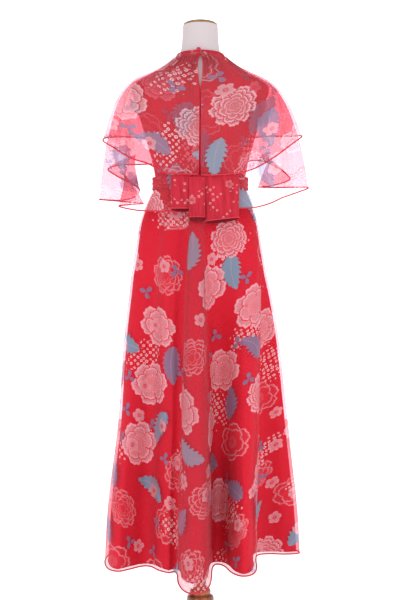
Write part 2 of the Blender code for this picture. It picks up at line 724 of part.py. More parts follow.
def fold_rows():
    """Where each row of SKIRT_FOLDS passes the waist, the hip and the hem, as x and y of each."""
    waist_turn, hip_turn, hip_out, hem_x, hem_y = np.array(SKIRT_FOLDS, float).T
    waist = on_figure(waist_turn, WAIST_HEIGHT, SKIRT_LEVEL)
    hip_angle = np.radians(hip_turn)
    depth = np.where(np.cos(hip_angle) > 0, HIP_BACK, HIP_FRONT)
    hip_x = (HIP_WIDTH + hip_out) * np.sin(hip_angle)
    hip_y = (depth + hip_out) * np.cos(hip_angle)
    return np.stack([waist[:, 0], waist[:, 1], hip_x, hip_y, hem_x, hem_y], axis=-1)


def skirt():
    shares = np.array([0.0, 0.05, 0.12, 0.21, 0.34, 0.52, 0.75, 1.0])
    count = len(SKIRT_FOLDS)
    ring = np.arange(0, count, 0.5)
    ring = ring[(ring <= SIDE_SEAM_LEFT) | (ring >= SIDE_SEAM_RIGHT) | (ring % 1 == 0)]
    overlay = skirt_rings(ring, shares, OVERLAY_HEM_HEIGHT, OVERLAY_HEM_DIP)
    base = skirt_rings(ring, shares, LINING_HEM_HEIGHT, LINING_HEM_DIP)
    room = eased(OVERLAY_ROOM, "height", "gap", base[..., 2])[..., None] + CLOTH
    lining = base - outward(base, closed=True) * room
    left, right = np.searchsorted(ring, (SIDE_SEAM_LEFT, SIDE_SEAM_RIGHT))
    front = np.arange(left, right + 1)
    back = np.concatenate([np.arange(right, len(ring)), np.arange(0, left + 1)])
    for layer, grid, finish in (("lining", lining, "lining"), ("overlay", overlay, "chiffon")):
        inner = grid - outward(grid, closed=True) * CLOTH
        for panel, columns in (("front", front), ("back", back)):
            outer_panel = trimmed(grid[:, columns])
            inner_panel = trimmed(inner[:, columns])
            wall(f"skirt_{layer}_{panel}", outer_panel, inner_panel, finish)


def trimmed(grid):
    """The panel with its two side edges drawn in by half a seam."""
    grid = grid.copy()
    for edge, next_in in ((0, 1), (-1, -2)):
        grid[:, edge] += unit(grid[:, next_in] - grid[:, edge]) * SEAM
    return grid


# ---- sash and bow ---------------------------------------------------------------------------------
def waist_sash():
    turns = np.arange(36) * 360 / 36
    rows = []
    for share in (0.0, 0.5, 1.0):
        heights = np.full(len(turns), WAIST_HEIGHT + SASH_RISE + SASH_HEIGHT * (0.5 - share))
        belly = SASH_BELLY if 0 < share < 1 else 0.0
        rows.append(sash_point(turns, heights, belly))
    outer = np.array(rows)
    wall("waist_sash", outer, outer - outward(outer, closed=True) * SASH_WALL, "chiffon", closed=True)


def sash_point(turns, heights, belly):
    """Outer face of the sash: clear of the bodice above the waist seam and of the skirt below it."""
    over_skirt, flare = 0.0062, 0.10
    above = on_figure(turns, heights, BODICE_LEVEL + SEAM + SASH_WALL + belly)
    spread = over_skirt + flare * np.maximum(WAIST_HEIGHT - heights, 0)[:, None]
    return above + unit(above * np.array([1.0, 1.0, 0.0])) * spread


def rounded_block(name, centre, half, finish, sides=16, power=0.45):
    """Soft block: a superellipsoid with rounded faces."""

    def soft(value):
        return math.copysign(abs(value) ** power, value)

    rings = []
    for latitude in (-78, -52, -26, 0, 26, 52, 78):
        lift = math.radians(latitude)
        ring = []
        for k in range(sides):
            spin = math.radians(360 * k / sides)
            ring.append(
                (
                    centre[0] + half[0] * soft(math.cos(lift)) * soft(math.sin(spin)),
                    centre[1] + half[1] * soft(math.cos(lift)) * soft(math.cos(spin)),
                    centre[2] + half[2] * soft(math.sin(lift)),
                )
            )
        rings.append(ring)
    return stacked_rings(name, rings, finish)


def loop_tube(name, span, drop, puffs, finish):
    """Flattened loop of the sash: an upright tube of cloth with a slack lower edge."""
    start, end = span
    middle = (start + end) / 2
    half = abs(end - start) / 2
    count = 16
    spin = np.radians(np.arange(count) * 360 / count)
    rows = []
    for share in (0.0, 0.12, 0.35, 0.65, 1.0):
        puff = puffs[0] + (puffs[1] - puffs[0]) * share
        along = np.sign(np.cos(spin)) * np.abs(np.cos(spin)) ** 0.7
        toward = np.sign(np.sin(spin)) * np.abs(np.sin(spin)) ** 0.8
        x = middle + half * along
        y = LOOP_DEPTH + LOOP_SWING * share + puff * toward
        mix = (x - start) / (end - start)
        bottom = drop[0] + (drop[1] - drop[0]) * mix
        rows.append(np.stack([x, y, BOW_TOP + (bottom - BOW_TOP) * share], axis=-1))
    outer = np.array(rows)[:, ::-1]
    wall(name, outer, outer - outward(outer, closed=True) * CLOTH, finish, closed=True)


def knot_centre():
    """The knot stands on the sash's outer face."""
    turn = math.degrees(math.atan2(KNOT_X, FIGURE["back"][FIGURE["height"].index(WAIST_HEIGHT)]))
    seat = sash_point(np.array([turn]), np.array([KNOT_HEIGHT]), SASH_BELLY)[0, 1]
    return KNOT_X, float(seat) + SEAM + KNOT_HALF[1], KNOT_HEIGHT


def bow():
    """Knot of the sash with its two drooping loops, one on each side of it."""
    centre = knot_centre()
    rounded_block("bow_knot", centre, KNOT_HALF, "chiffon")
    reach = KNOT_HALF[0] - LOOP_TUCK
    left_span = (KNOT_X + reach, LOOP_LEFT_END)
    right_span = (KNOT_X - reach, LOOP_RIGHT_END)
    loop_tube("bow_loop_left", left_span, LOOP_LEFT_DROP, LOOP_LEFT_PUFFS, "chiffon")
    loop_tube("bow_loop_right", right_span, LOOP_RIGHT_DROP, LOOP_RIGHT_PUFFS, "chiffon")


def bow_tail():
    """Folded end of the sash: its top lies on the knot, and it hangs in front of the loops' inner ends."""
    top = knot_centre()[1] + KNOT_HALF[1] + SEAM + CLOTH
    start, end = TAIL_SPAN
    columns = np.linspace(0, 1, 9)
    rows = []
    for share in (0.0, TAIL_ON_KNOT, 0.42, 0.70, 1.0):
        free = max(share - TAIL_ON_KNOT, 0) / (1 - TAIL_ON_KNOT)
        x = start + (end - start) * columns
        wave = 0.0022 * np.sin(np.pi * columns) - 0.0018 * np.sin(3 * np.pi * columns)
        y = top + TAIL_SWING * free**0.8 + wave * free
        z = np.full_like(x, TAIL_TOP + (TAIL_BOTTOM - TAIL_TOP) * share)
        rows.append(np.stack([x, y, z], axis=-1))
    cloth("bow_tail", np.array(rows), "chiffon")


def build():
    clear_scene()
    form_base()
    form_pole()
    form_torso()
    form_neck_cap()
    bodice()
    skirt()
    waist_sash()
    capelet()
    neck_binding()
    neck_button()
    neck_loop()
    bow()
    bow_tail()


build()
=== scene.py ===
"""Looks of the maxi dress on its dress form: printed chiffon, red lining, rolled hems, the form's finish.

Metres, +Z up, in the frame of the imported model. The garment faces -Y, so +X is the wearer's left.
Turns are in degrees from the centre back (+Y) towards the wearer's left (+X).
"""

import math

import bpy
import numpy as np
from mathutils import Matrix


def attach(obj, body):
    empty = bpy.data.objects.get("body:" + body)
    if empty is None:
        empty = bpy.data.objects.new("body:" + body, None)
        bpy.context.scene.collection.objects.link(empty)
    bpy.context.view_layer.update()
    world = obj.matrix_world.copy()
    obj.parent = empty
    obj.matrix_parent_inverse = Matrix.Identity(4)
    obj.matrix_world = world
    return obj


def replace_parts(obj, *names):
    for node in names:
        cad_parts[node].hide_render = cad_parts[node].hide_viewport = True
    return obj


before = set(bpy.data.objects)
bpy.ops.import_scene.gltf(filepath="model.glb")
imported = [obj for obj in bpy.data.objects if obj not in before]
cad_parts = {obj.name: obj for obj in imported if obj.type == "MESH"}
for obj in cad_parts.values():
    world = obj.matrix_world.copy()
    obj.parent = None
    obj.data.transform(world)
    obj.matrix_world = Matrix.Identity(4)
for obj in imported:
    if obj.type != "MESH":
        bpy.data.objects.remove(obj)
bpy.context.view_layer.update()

# ---- driving sizes, as the solids have them ----
CAD_WALL = 0.0012
SHEER = 0.0004  # thickness of the chiffon and lining as shown
MID_WALL = CAD_WALL / 2 - SHEER / 2  # from a solid's face to that of the cloth shown in its middle
SEAM = 0.0003

WAIST_HEIGHT = 1.2535
OVERLAY_HEM_HEIGHT = 0.225
OVERLAY_HEM_DIP = 0.027
LINING_HEM_HEIGHT = 0.2305
LINING_HEM_DIP = 0.008
NECK_BACK_HEIGHT = 1.605
NECK_FRONT_HEIGHT = 1.556

BACK_SCOOP, FRONT_SCOOP = 8.0, 21.0  # degrees that the armhole takes of the back and the front
BODICE_LEVEL = 0.0026
UPPER_CAPE_LEVEL = 0.0090
SKIRT_LEVEL = 0.0036
SASH_HEIGHT = 0.035
SASH_RISE = 0.005
SASH_WALL = 0.0020
SASH_SHELL = 0.0010  # its thickness as shown
SASH_BELLY = 0.0010

TORSO_BOTTOM = 0.985
FORM_INSET = 0.0013
NECK_TOP = 1.693
CAP_DOME = 0.014
BASE_RADIUS = 0.190
BASE_HEIGHT = 0.040

HEM_RADIUS = 0.0020  # rolled hems
EDGE_RADIUS = 0.0006

# ---- the figure: half-width, depth of the back and of the front at each height ----
FIGURE = {
    "height": (0.985, 1.04, 1.10, 1.17, 1.2535, 1.30, 1.36, 1.42, 1.46, 1.49, 1.510,
               1.520, 1.531, 1.541, 1.554, 1.5685, 1.582, 1.597, 1.609, 1.625, 1.65, 1.693),
    "width": (0.142, 0.150, 0.148, 0.134, 0.116, 0.122, 0.138, 0.156, 0.172, 0.180, 0.186,
              0.187, 0.179, 0.1605, 0.1325, 0.1055, 0.0860, 0.068, 0.0590, 0.0550, 0.0515, 0.0495),
    "back": (0.098, 0.107, 0.107, 0.098, 0.082, 0.087, 0.098, 0.106, 0.109, 0.107, 0.104,
             0.101, 0.098, 0.095, 0.090, 0.084, 0.077, 0.069, 0.063, 0.058, 0.054, 0.053),
    "front": (0.094, 0.101, 0.099, 0.093, 0.086, 0.094, 0.116, 0.134, 0.122, 0.103, 0.093,
              0.086, 0.081, 0.076, 0.070, 0.065, 0.060, 0.056, 0.054, 0.051, 0.049, 0.048),
}
EASE = {"height": (1.2535, 1.36, 1.46, 1.51, 1.60), "room": (0.0038, 0.0030, 0.0016, 0.0, 0.0)}

# ---- the capelet's hems: a row for each crest, hollow and turn, from the centre back to the front ----
UPPER_HEM_LEFT = (
    # turn, x, y, z
    (1.5, 0.006, 0.144, 1.271),
    (14, 0.040, 0.145, 1.271),
    (30, 0.095, 0.136, 1.277),
    (44, 0.139, 0.112, 1.302),
    (56, 0.188, 0.086, 1.321),
    (68, 0.241, 0.055, 1.356),
    (78, 0.2655, 0.022, 1.3745),
    (86, 0.262, -0.010, 1.387),
    (96, 0.230, -0.046, 1.395),
    (108, 0.190, -0.080, 1.399),
    (124, 0.150, -0.114, 1.401),
    (142, 0.102, -0.138, 1.398),
    (162, 0.045, -0.151, 1.392),
)
UPPER_HEM_RIGHT = (
    (1.5, -0.003, 0.144, 1.269),
    (14, -0.046, 0.145, 1.269),
    (30, -0.105, 0.137, 1.275),
    (42, -0.137, 0.118, 1.286),
    (54, -0.163, 0.097, 1.300),
    (64, -0.206, 0.070, 1.329),
    (74, -0.252, 0.036, 1.366),
    (82, -0.280, 0.006, 1.390),
    (90, -0.260, -0.022, 1.394),
    (98, -0.228, -0.046, 1.397),
    (108, -0.194, -0.074, 1.401),
    (124, -0.152, -0.112, 1.402),
    (142, -0.102, -0.138, 1.398),
    (162, -0.045, -0.151, 1.392),
)
LOWER_HEM_LEFT = (
    (1.5, 0.020, 0.122, 1.174),
    (14, 0.046, 0.126, 1.174),
    (26, 0.088, 0.127, 1.174),
    (38, 0.132, 0.118, 1.176),
    (48, 0.172, 0.108, 1.179),
    (56, 0.2176, 0.097, 1.190),
    (62, 0.190, 0.074, 1.196),
    (68, 0.155, 0.054, 1.201),
    (76, 0.214, 0.036, 1.208),
    (84, 0.2770, 0.012, 1.2155),
    (91, 0.220, -0.012, 1.215),
    (98, 0.182, -0.034, 1.227),
    (104, 0.171, -0.052, 1.250),
    (110, 0.196, -0.070, 1.268),
    (117, 0.238, -0.088, 1.292),
    (124, 0.262, -0.100, 1.312),
    (132, 0.226, -0.116, 1.325),
    (142, 0.176, -0.132, 1.328),
    (155, 0.118, -0.147, 1.331),
    (168, 0.052, -0.156, 1.324),
)
LOWER_HEM_RIGHT = (
    (1.5, -0.018, 0.122, 1.181),
    (14, -0.046, 0.126, 1.181),
    (26, -0.092, 0.126, 1.182),
    (38, -0.140, 0.115, 1.185),
    (48, -0.169, 0.100, 1.192),
    (58, -0.197, 0.082, 1.203),
    (68, -0.2217, 0.060, 1.216),
    (77, -0.262, 0.034, 1.232),
    (84, -0.297, 0.008, 1.248),
    (90, -0.256, -0.020, 1.252),
    (96, -0.210, -0.040, 1.253),
    (102, -0.163, -0.058, 1.256),
    (108, -0.196, -0.076, 1.261),
    (114, -0.234, -0.089, 1.272),
    (120, -0.2545, -0.099, 1.286),
    (128, -0.222, -0.113, 1.316),
    (138, -0.178, -0.130, 1.338),
    (150, -0.128, -0.145, 1.338),
    (166, -0.056, -0.156, 1.326),
)
CENTRE_FRONT_UPPER = (180, 0.0, -0.154, 1.390)
CENTRE_FRONT_LOWER = (180, 0.0, -0.159, 1.321)
CAPE_BREAK = {
    "turn": (0, 30, 55, 75, 105, 122, 145, 180),
    "height": (1.455, 1.475, 1.518, 1.536, 1.536, 1.519, 1.455, 1.430),
}
TIER_NEST = {"share": (0.0, 0.45, 0.75, 1.0), "gap": (0.0027, 0.0047, 0.0072, 0.0120)}
CAPE_LIFT = 0.0032
LIE_SHARE = 0.5
BOW_ROOM = 0.012
BOW_ROOM_TURN = 42
UPPER_SLIT_X, UPPER_SLIT_HALF = 0.0, 0.0025
LOWER_SLIT_X, LOWER_SLIT_HALF = 0.002, 0.0200

# ---- the skirt: a row for each crest and hollow of its folds, all the way round from the centre back ----
SKIRT_FOLDS = (
    # waist_turn, hip_turn, hip_out, hem_x, hem_y
    (2.2, 2.6, 0.036, 0.0172, 0.262),
    (4.0, 6.0, 0.036, 0.0415, 0.240),
    (5.6, 8.6, 0.026, 0.0580, 0.205),
    (8.0, 11.5, 0.004, 0.0620, 0.158),
    (12, 16, -0.003, 0.0700, 0.136),
    (20, 22, 0.001, 0.0870, 0.146),
    (28, 30, 0.005, 0.1147, 0.1185),
    (36, 38, -0.003, 0.1364, 0.0780),
    (43, 45, -0.005, 0.1594, 0.0740),
    (52, 53, 0.000, 0.1908, 0.107),
    (62, 62, 0.006, 0.2194, 0.1330),
    (72, 71, 0.004, 0.2464, 0.114),
    (84, 83, 0.000, 0.2620, 0.060),
    (97, 96, 0.000, 0.2680, -0.010),
    (110, 109, 0.002, 0.2580, -0.080),
    (122, 121, 0.000, 0.2280, -0.135),
    (134, 133, -0.003, 0.1850, -0.168),
    (146, 145, 0.002, 0.1400, -0.212),
    (158, 157, 0.005, 0.0950, -0.245),
    (170, 169, 0.001, 0.0450, -0.236),
    (182, 181, -0.003, -0.0050, -0.222),
    (194, 193, 0.001, -0.0550, -0.240),
    (206, 205, 0.005, -0.1050, -0.258),
    (217, 216, 0.002, -0.1520, -0.232),
    (228, 227, -0.002, -0.1960, -0.196),
    (240, 238, 0.001, -0.2400, -0.166),
    (251, 249, 0.003, -0.2640, -0.126),
    (260, 258, 0.003, -0.2700, -0.0880),
    (267, 265, 0.001, -0.2330, -0.0740),
    (273, 272, -0.002, -0.1900, -0.0790),
    (279, 279, -0.006, -0.1580, -0.0650),
    (285, 286, -0.008, -0.1480, -0.0100),
    (291, 292, 0.000, -0.1470, 0.0700),
    (298, 298, 0.008, -0.1400, 0.1400),
    (307, 306, 0.008, -0.1240, 0.1800),
    (317, 316, 0.003, -0.1000, 0.1850),
    (326, 325, 0.000, -0.0790, 0.1480),
    (335, 334, -0.004, -0.0660, 0.0880),
    (343, 342, -0.007, -0.0520, 0.0540),
    (350, 348, -0.005, -0.0380, 0.0580),
    (355, 353, 0.002, -0.0310, 0.1050),
    (358, 356.5, 0.026, -0.0260, 0.2000),
    (360, 359, 0.035, -0.0080, 0.2480),
)
HIP_WIDTH = 0.172
HIP_BACK = 0.131
HIP_FRONT = 0.121
WAIST_TO_HIP = {
    "height": (1.050, 1.091, 1.1325, 1.174, 1.193, 1.218, 1.2535),
    "share": (1.0, 0.86, 0.74, 0.54, 0.43, 0.26, 0.0),
}
HIP_TO_HEM = {
    "height": (0.19, 0.225, 0.307, 0.39, 0.4725, 0.555, 0.6375, 0.72, 0.80, 0.885, 0.9675, 1.050),
    "share": (1.02, 1.0, 0.965, 0.90, 0.80, 0.70, 0.605, 0.51, 0.42, 0.31, 0.165, 0.0),
}
# How much further than those tables each side of the skirt stands out.
SIDE_ROOM = {
    "height": (0.20, 0.445, 0.577, 0.775, 0.94, 1.02, 1.15, 1.19, 1.2535),
    "left": (-0.006, -0.006, -0.008, 0.0, 0.005, 0.010, 0.011, 0.008, 0.0),
    "right": (0.010, 0.009, 0.010, 0.011, 0.008, 0.005, 0.003, 0.002, 0.0),
}
OVERLAY_ROOM = {"height": (0.20, 0.70, 1.10, 1.2535), "gap": (0.0085, 0.0065, 0.0040, 0.0004)}
SIDE_SEAM_LEFT = 13
SIDE_SEAM_RIGHT = 27

# ---- the bow ----
BOW_TOP = 1.270
KNOT_X = 0.0075
KNOT_HEIGHT = 1.2555
KNOT_HALF = (0.0155, 0.0215, 0.0150)
LOOP_LEFT_END = 0.0775
LOOP_LEFT_DROP = (1.1815, 1.1815)
LOOP_LEFT_PUFFS = (0.0042, 0.0075)
LOOP_RIGHT_END = -0.1020
LOOP_RIGHT_DROP = (1.1475, 1.1580)
LOOP_RIGHT_PUFFS = (0.0044, 0.0095)
LOOP_TUCK = 0.0006
LOOP_DEPTH = 0.1335
LOOP_SWING = 0.0065
LOOP_BACK_HANGS = 0.0085  # that the back of each loop hangs below its front
TAIL_SPAN = (-0.0120, 0.0290)
TAIL_TOP = 1.264
TAIL_BOTTOM = 1.158
TAIL_ON_KNOT = 0.16
TAIL_SWING = 0.0150
TAIL_UNDER = (0.0, -0.0045, -0.0120)  # from the tail to its lower layer

# place across, lean, width and how far out of the creases of each loop
LEFT_LOOP_CREASES = (
    (0.22, 0.10, 0.06, 0.0008),
    (0.48, -0.08, 0.05, -0.0007),
    (0.72, 0.06, 0.06, 0.0009),
)
RIGHT_LOOP_CREASES = (
    (0.10, 0.02, 0.020, 0.0014),
    (0.30, -0.10, 0.05, -0.0007),
    (0.50, 0.08, 0.05, 0.0008),
    (0.70, -0.06, 0.05, -0.0006),
    (0.86, 0.10, 0.04, 0.0008),
)

# ---- creases, placed one by one: across is the turn or share of the width where each runs ----
SKIRT_CREASES = (
    # across, lean, top, bottom, width, out
    (24, 3, 0.05, 0.85, 2.6, 0.0022),
    (33, -4, 0.30, 1.05, 2.0, -0.0018),
    (49, 5, 0.10, 0.70, 3.0, 0.0020),
    (66, -3, 0.42, 1.05, 2.4, -0.0020),
    (80, 4, 0.00, 0.55, 3.2, 0.0016),
    (128, 3, 0.10, 0.80, 3.4, 0.0020),
    (152, -4, 0.35, 1.05, 2.8, -0.0018),
    (176, 2, 0.05, 0.60, 3.0, 0.0018),
    (200, -3, 0.25, 1.00, 2.6, 0.0020),
    (223, 4, 0.10, 0.75, 3.0, -0.0016),
    (300, -4, 0.05, 0.62, 2.2, -0.0018),
    (312, 3, 0.22, 1.00, 1.8, 0.0020),
    (323, -2, 0.10, 0.66, 2.0, -0.0016),
    (331, 3, 0.45, 1.05, 1.6, 0.0016),
)
CAPE_CREASES = (
    (4, 2, 0.00, 0.95, 0.9, 0.0016),
    (8, 3, 0.00, 0.62, 1.4, 0.0012),
    (17, -4, 0.10, 0.95, 2.0, -0.0010),
    (27, 5, 0.00, 0.55, 1.7, 0.0013),
    (39, -3, 0.20, 1.00, 2.4, 0.0011),
    (52, 4, 0.05, 0.80, 2.0, -0.0010),
    (59, -2, 0.20, 1.10, 1.0, 0.0022),
    (66, 2, 0.25, 1.15, 1.1, -0.0020),
    (73, 3, 0.30, 1.00, 2.6, 0.0012),
    (101, -4, 0.05, 0.80, 2.4, 0.0010),
    (131, 4, 0.10, 0.90, 2.2, -0.0010),
    (158, -3, 0.00, 0.70, 2.0, 0.0012),
    (196, 3, 0.10, 0.90, 2.2, -0.0011),
    (231, -4, 0.00, 0.75, 2.4, 0.0011),
    (266, 3, 0.20, 1.00, 2.6, -0.0010),
    (290, 2, 0.22, 1.15, 1.1, -0.0020),
    (297, -3, 0.05, 0.85, 2.2, 0.0012),
    (304, -2, 0.20, 1.10, 1.0, 0.0022),
    (316, 4, 0.00, 0.60, 1.8, -0.0010),
    (329, -5, 0.15, 1.00, 2.0, 0.0012),
    (341, 3, 0.00, 0.70, 1.6, -0.0010),
    (351, -3, 0.05, 0.90, 1.5, 0.0012),
)
BODICE_CREASES = (
    (14, 4, 0.55, 1.05, 2.4, 0.0006),
    (31, -6, 0.62, 1.05, 3.0, -0.0005),
    (50, 5, 0.48, 1.05, 3.2, 0.0006),
    (70, -7, 0.60, 1.05, 3.0, 0.0005),
    (112, 6, 0.55, 1.05, 3.4, 0.0006),
    (137, -5, 0.50, 1.05, 3.2, -0.0005),
    (160, 4, 0.60, 1.05, 3.0, 0.0006),
)

# pleats per radian, depth and the share of the length over which they fade
CAPE_GATHERS = (52, 0.0022, 0.34)
OVERLAY_GATHERS = (46, 0.0009, 0.10)
LINING_GATHERS = (38, 0.0005, 0.07)

CAPE_CUT_RADIUS = 0.20  # of the neck edge of the flat tiers, which are cut as parts of a ring


# ---- curves and tables ----
def eased(table, key, value, at):
    """Reads a table with a cubic that never overshoots its rows."""
    x = np.asarray(table[key], float)
    y = np.asarray(table[value], float)
    step = np.diff(x)
    slope = np.diff(y) / step
    tangent = np.zeros_like(y)
    same_way = slope[:-1] * slope[1:] > 0
    safe = np.where(same_way, slope[:-1] + slope[1:], 1.0)
    tangent[1:-1] = np.where(same_way, 2 * slope[:-1] * slope[1:] / safe, 0.0)
    tangent[0], tangent[-1] = slope[0], slope[-1]
    at = np.clip(np.asarray(at, float), x[0], x[-1])
    i = np.clip(np.searchsorted(x, at, side="right") - 1, 0, len(x) - 2)
    t = (at - x[i]) / step[i]
    return (
        y[i] * (1 + 2 * t) * (1 - t) ** 2
        + tangent[i] * step[i] * t * (1 - t) ** 2
        + y[i + 1] * t * t * (3 - 2 * t)
        + tangent[i + 1] * step[i] * t * t * (t - 1)
    )


def through_rows(rows, at, closed):
    """Catmull-Rom curve through the rows, read at row numbers that may lie between two rows."""
    rows = np.asarray(rows, float)
    count = len(rows)
    i = np.floor(at).astype(int)
    if not closed:
        i = np.clip(i, 0, count - 2)
    t = (at - i)[:, None]

    def row(k):
        return rows[k % count] if closed else rows[np.clip(k, 0, count - 1)]

    a, b, c, d = row(i - 1), row(i), row(i + 1), row(i + 2)
    bend = 2 * a - 5 * b + 4 * c - d
    twist = 3 * b - 3 * c + d - a
    return 0.5 * (2 * b + (c - a) * t + bend * t**2 + twist * t**3)


def unit(vectors):
    """The vectors, each made one long."""
    return vectors / np.maximum(np.linalg.norm(vectors, axis=-1, keepdims=True), 1e-12)


def xyz(x, y, z):
    return np.stack(np.broadcast_arrays(x, y, z), axis=-1)


def full_turn(count):
    """Angles of evenly spaced points, once round."""
    return np.radians(np.arange(count) * 360 / count)


def squared_off(wave, power):
    """A sine or cosine for a ring that is squarer, the lower the power."""
    return np.sign(wave) * np.abs(wave) ** power


def even_steps(lines, shares):
    """Each line of points, read again at the given shares of its length."""
    out = np.empty((len(shares), lines.shape[1], 3))
    for column in range(lines.shape[1]):
        line = lines[:, column]
        run = np.concatenate([[0.0], np.cumsum(np.linalg.norm(np.diff(line, axis=0), axis=1))])
        for axis in range(3):
            out[:, column, axis] = np.interp(np.asarray(shares) * run[-1], run, line[:, axis])
    return out


def outward(grid, closed=False):
    """Unit normals, pointing out of the garment, of a grid of rows from the top and columns by turn."""
    down = np.gradient(grid, axis=0)
    if closed:
        across = np.roll(grid, -1, axis=1) - np.roll(grid, 1, axis=1)
    else:
        across = np.gradient(grid, axis=1)
    return unit(np.cross(across, down))


def creased(across, shares, creases):
    """How far the creases push the cloth out, on a grid of shares down and places across."""
    push = np.zeros((len(shares), len(across)))
    down = np.asarray(shares, float)[:, None]
    for place, lean, top, bottom, width, out in creases:
        middle = (top + bottom) / 2
        reach = (bottom - top) / 2
        fade = np.clip(1 - ((down - middle) / reach) ** 2, 0, 1) ** 1.5
        off = (across[None, :] - place - lean * (down - middle)) / width
        push += out * fade * np.exp(-(off**2))
    return push


def gathers(across, shares, per_radian, depth, length):
    """Small uneven pleats that a gathered edge gives, strongest at the top."""
    turn = np.radians(across)[None, :]
    down = np.asarray(shares, float)[:, None]
    uneven = 0.55 + 0.30 * np.sin(3.1 * turn + 0.7) + 0.15 * np.sin(7.3 * turn + 2.1)
    wander = 0.9 * np.sin(5 * turn + 1.3) + 0.5 * np.sin(11 * turn)
    wave = np.sin(per_radian * turn + wander + 1.1 * down) + 0.4 * np.sin(1.7 * per_radian * turn + 2.0)
    return depth * uneven * wave * np.exp(-down / length) * np.minimum(down / 0.015 + 0.35, 1.0)


# ---- the figure and what lies on it ----
def figure(turn, height):
    turn = np.radians(turn)
    width = eased(FIGURE, "height", "width", height)
    back = eased(FIGURE, "height", "back", height)
    front = eased(FIGURE, "height", "front", height)
    depth = np.where(np.cos(turn) > 0, back, front)
    return xyz(width * np.sin(turn), depth * np.cos(turn), height)


def on_figure(turn, height, level):
    """Point that stands off the figure by the bodice's ease and the given level."""
    turn, height, level = np.broadcast_arrays(*(np.asarray(v, float) for v in (turn, height, level)))
    small_turn, small_rise = 0.5, 0.0006
    across = figure(turn + small_turn, height) - figure(turn - small_turn, height)
    down = figure(turn, height - small_rise) - figure(turn, height + small_rise)
    normal = unit(np.cross(across, down))
    room = eased(EASE, "height", "room", height) + level
    return figure(turn, height) + normal * room[..., None]


def neck_height(turn):
    level_back = 4  # the higher, the further forward the neck edge stays level
    to_front = 0.5 - 0.5 * np.cos(np.radians(turn))
    return NECK_BACK_HEIGHT + (NECK_FRONT_HEIGHT - NECK_BACK_HEIGHT) * to_front**level_back


# ---- meshes ----
SHARP_ANGLE = 50  # degrees
TUBE_UP = (0.31, 0.17, 0.93)  # along no tube, so that each has a way up


def add_object(name, data, place=(0.0, 0.0, 0.0), rotation=(0.0, 0.0, 0.0)):
    obj = bpy.data.objects.new(name, data)
    obj.location = place
    obj.rotation_euler = rotation
    bpy.context.scene.collection.objects.link(obj)
    return obj


def store(mesh, name, kind, key, values):
    """Stores a value at each point of the mesh, for its material to read."""
    attribute = mesh.attributes.new(name, kind, "POINT")
    attribute.data.foreach_set(key, np.asarray(values, np.float32).ravel())


def add_piece(name, points, faces, materials, flat, face_materials=None):
    """Mesh object that rides on the root body; flat holds each point's place on the uncut cloth."""
    mesh = bpy.data.meshes.new(name)
    mesh.from_pydata(np.asarray(points, float).tolist(), [], faces)
    for material in materials:
        mesh.materials.append(material)
    if face_materials is not None:
        mesh.polygons.foreach_set("material_index", face_materials)
    if flat is not None:
        store(mesh, "flat_place", "FLOAT_VECTOR", "vector", flat)
    mesh.shade_smooth()
    mesh.set_sharp_from_angle(angle=math.radians(SHARP_ANGLE))
    piece = add_object(name, mesh)
    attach(piece, "root")
    return piece


def mark_doubled_and_shade(piece, shares):
    """Stores a share at each point of a shell's grid: on sheer pieces how much cloth lies behind it,
    besides its own layer; on the bow how much painted shade it takes.
    """
    store(piece.data, "doubled_and_shade", "FLOAT", "value", np.tile(shares.ravel(), 2))


def steepness(grid, push):
    """How steep the sides of the creases are, where a line of sight passes through more of the cloth."""
    across = np.linalg.norm(np.gradient(grid, axis=1), axis=-1)
    return np.abs(np.gradient(push, axis=1)) / np.maximum(across, 0.0005)


def grid_faces(rows, columns, closed):
    faces = []
    for r in range(rows - 1):
        for c in range(columns if closed else columns - 1):
            n = (c + 1) % columns
            faces.append((r * columns + c, (r + 1) * columns + c, (r + 1) * columns + n, r * columns + n))
    return faces


def shell(name, outer, materials, flat, closed=False, thickness=SHEER):
    """Thin closed shell whose outer face is the grid, with its own material for each face."""
    inner = outer - outward(outer, closed) * thickness
    rows, columns = outer.shape[:2]
    shift = rows * columns
    front = grid_faces(rows, columns, closed)
    back = [tuple(v + shift for v in face[::-1]) for face in front]
    edges = []
    for c in range(columns if closed else columns - 1):
        n = (c + 1) % columns
        edges.append((c, n, n + shift, c + shift))
        last = (rows - 1) * columns
        edges.append((last + n, last + c, last + c + shift, last + n + shift))
    if not closed:
        for r in range(rows - 1):
            a, d = r * columns, (r + 1) * columns
            edges.append((d, a, a + shift, d + shift))
            a, d = a + columns - 1, d + columns - 1
            edges.append((a, d, d + shift, a + shift))
    face_materials = [0] * len(front) + [len(materials) - 1] * len(back) + [0] * len(edges)
    points = np.concatenate([outer.reshape(-1, 3), inner.reshape(-1, 3)])
    flat = np.concatenate([flat.reshape(-1, 3)] * 2)
    return add_piece(name, points, front + back + edges, materials, flat, face_materials)


def stacked_rings(name, rings, materials, flat=None, closed=False):
    """Solid through a stack of rings of points, with flat ends unless it closes on itself."""
    rings = np.asarray(rings, float)
    levels, count = rings.shape[:2]
    faces = []
    for level in range(levels if closed else levels - 1):
        low, high = level * count, (level + 1) % levels * count
        for c in range(count):
            n = (c + 1) % count
            faces.append((low + c, low + n, high + n, high + c))
    if not closed:
        faces.append(tuple(range(count))[::-1])
        faces.append(tuple((levels - 1) * count + c for c in range(count)))
    return add_piece(name, rings.reshape(-1, 3), faces, materials, flat)


def tube(name, line, radius, sides=6, closed=False):
    """Tube of hem cloth along a line of points."""
    line = np.asarray(line, float)
    if closed:
        way = unit(np.roll(line, -1, axis=0) - np.roll(line, 1, axis=0))
    else:
        way = unit(np.gradient(line, axis=0))
    side = unit(np.cross(way, TUBE_UP))
    lift = np.cross(side, way)
    spin = full_turn(sides)[None, :, None]
    rings = line[:, None] + (side[:, None] * np.cos(spin) + lift[:, None] * np.sin(spin)) * radius
    return stacked_rings(name, rings, [HEM], np.repeat(line, sides, axis=0), closed)


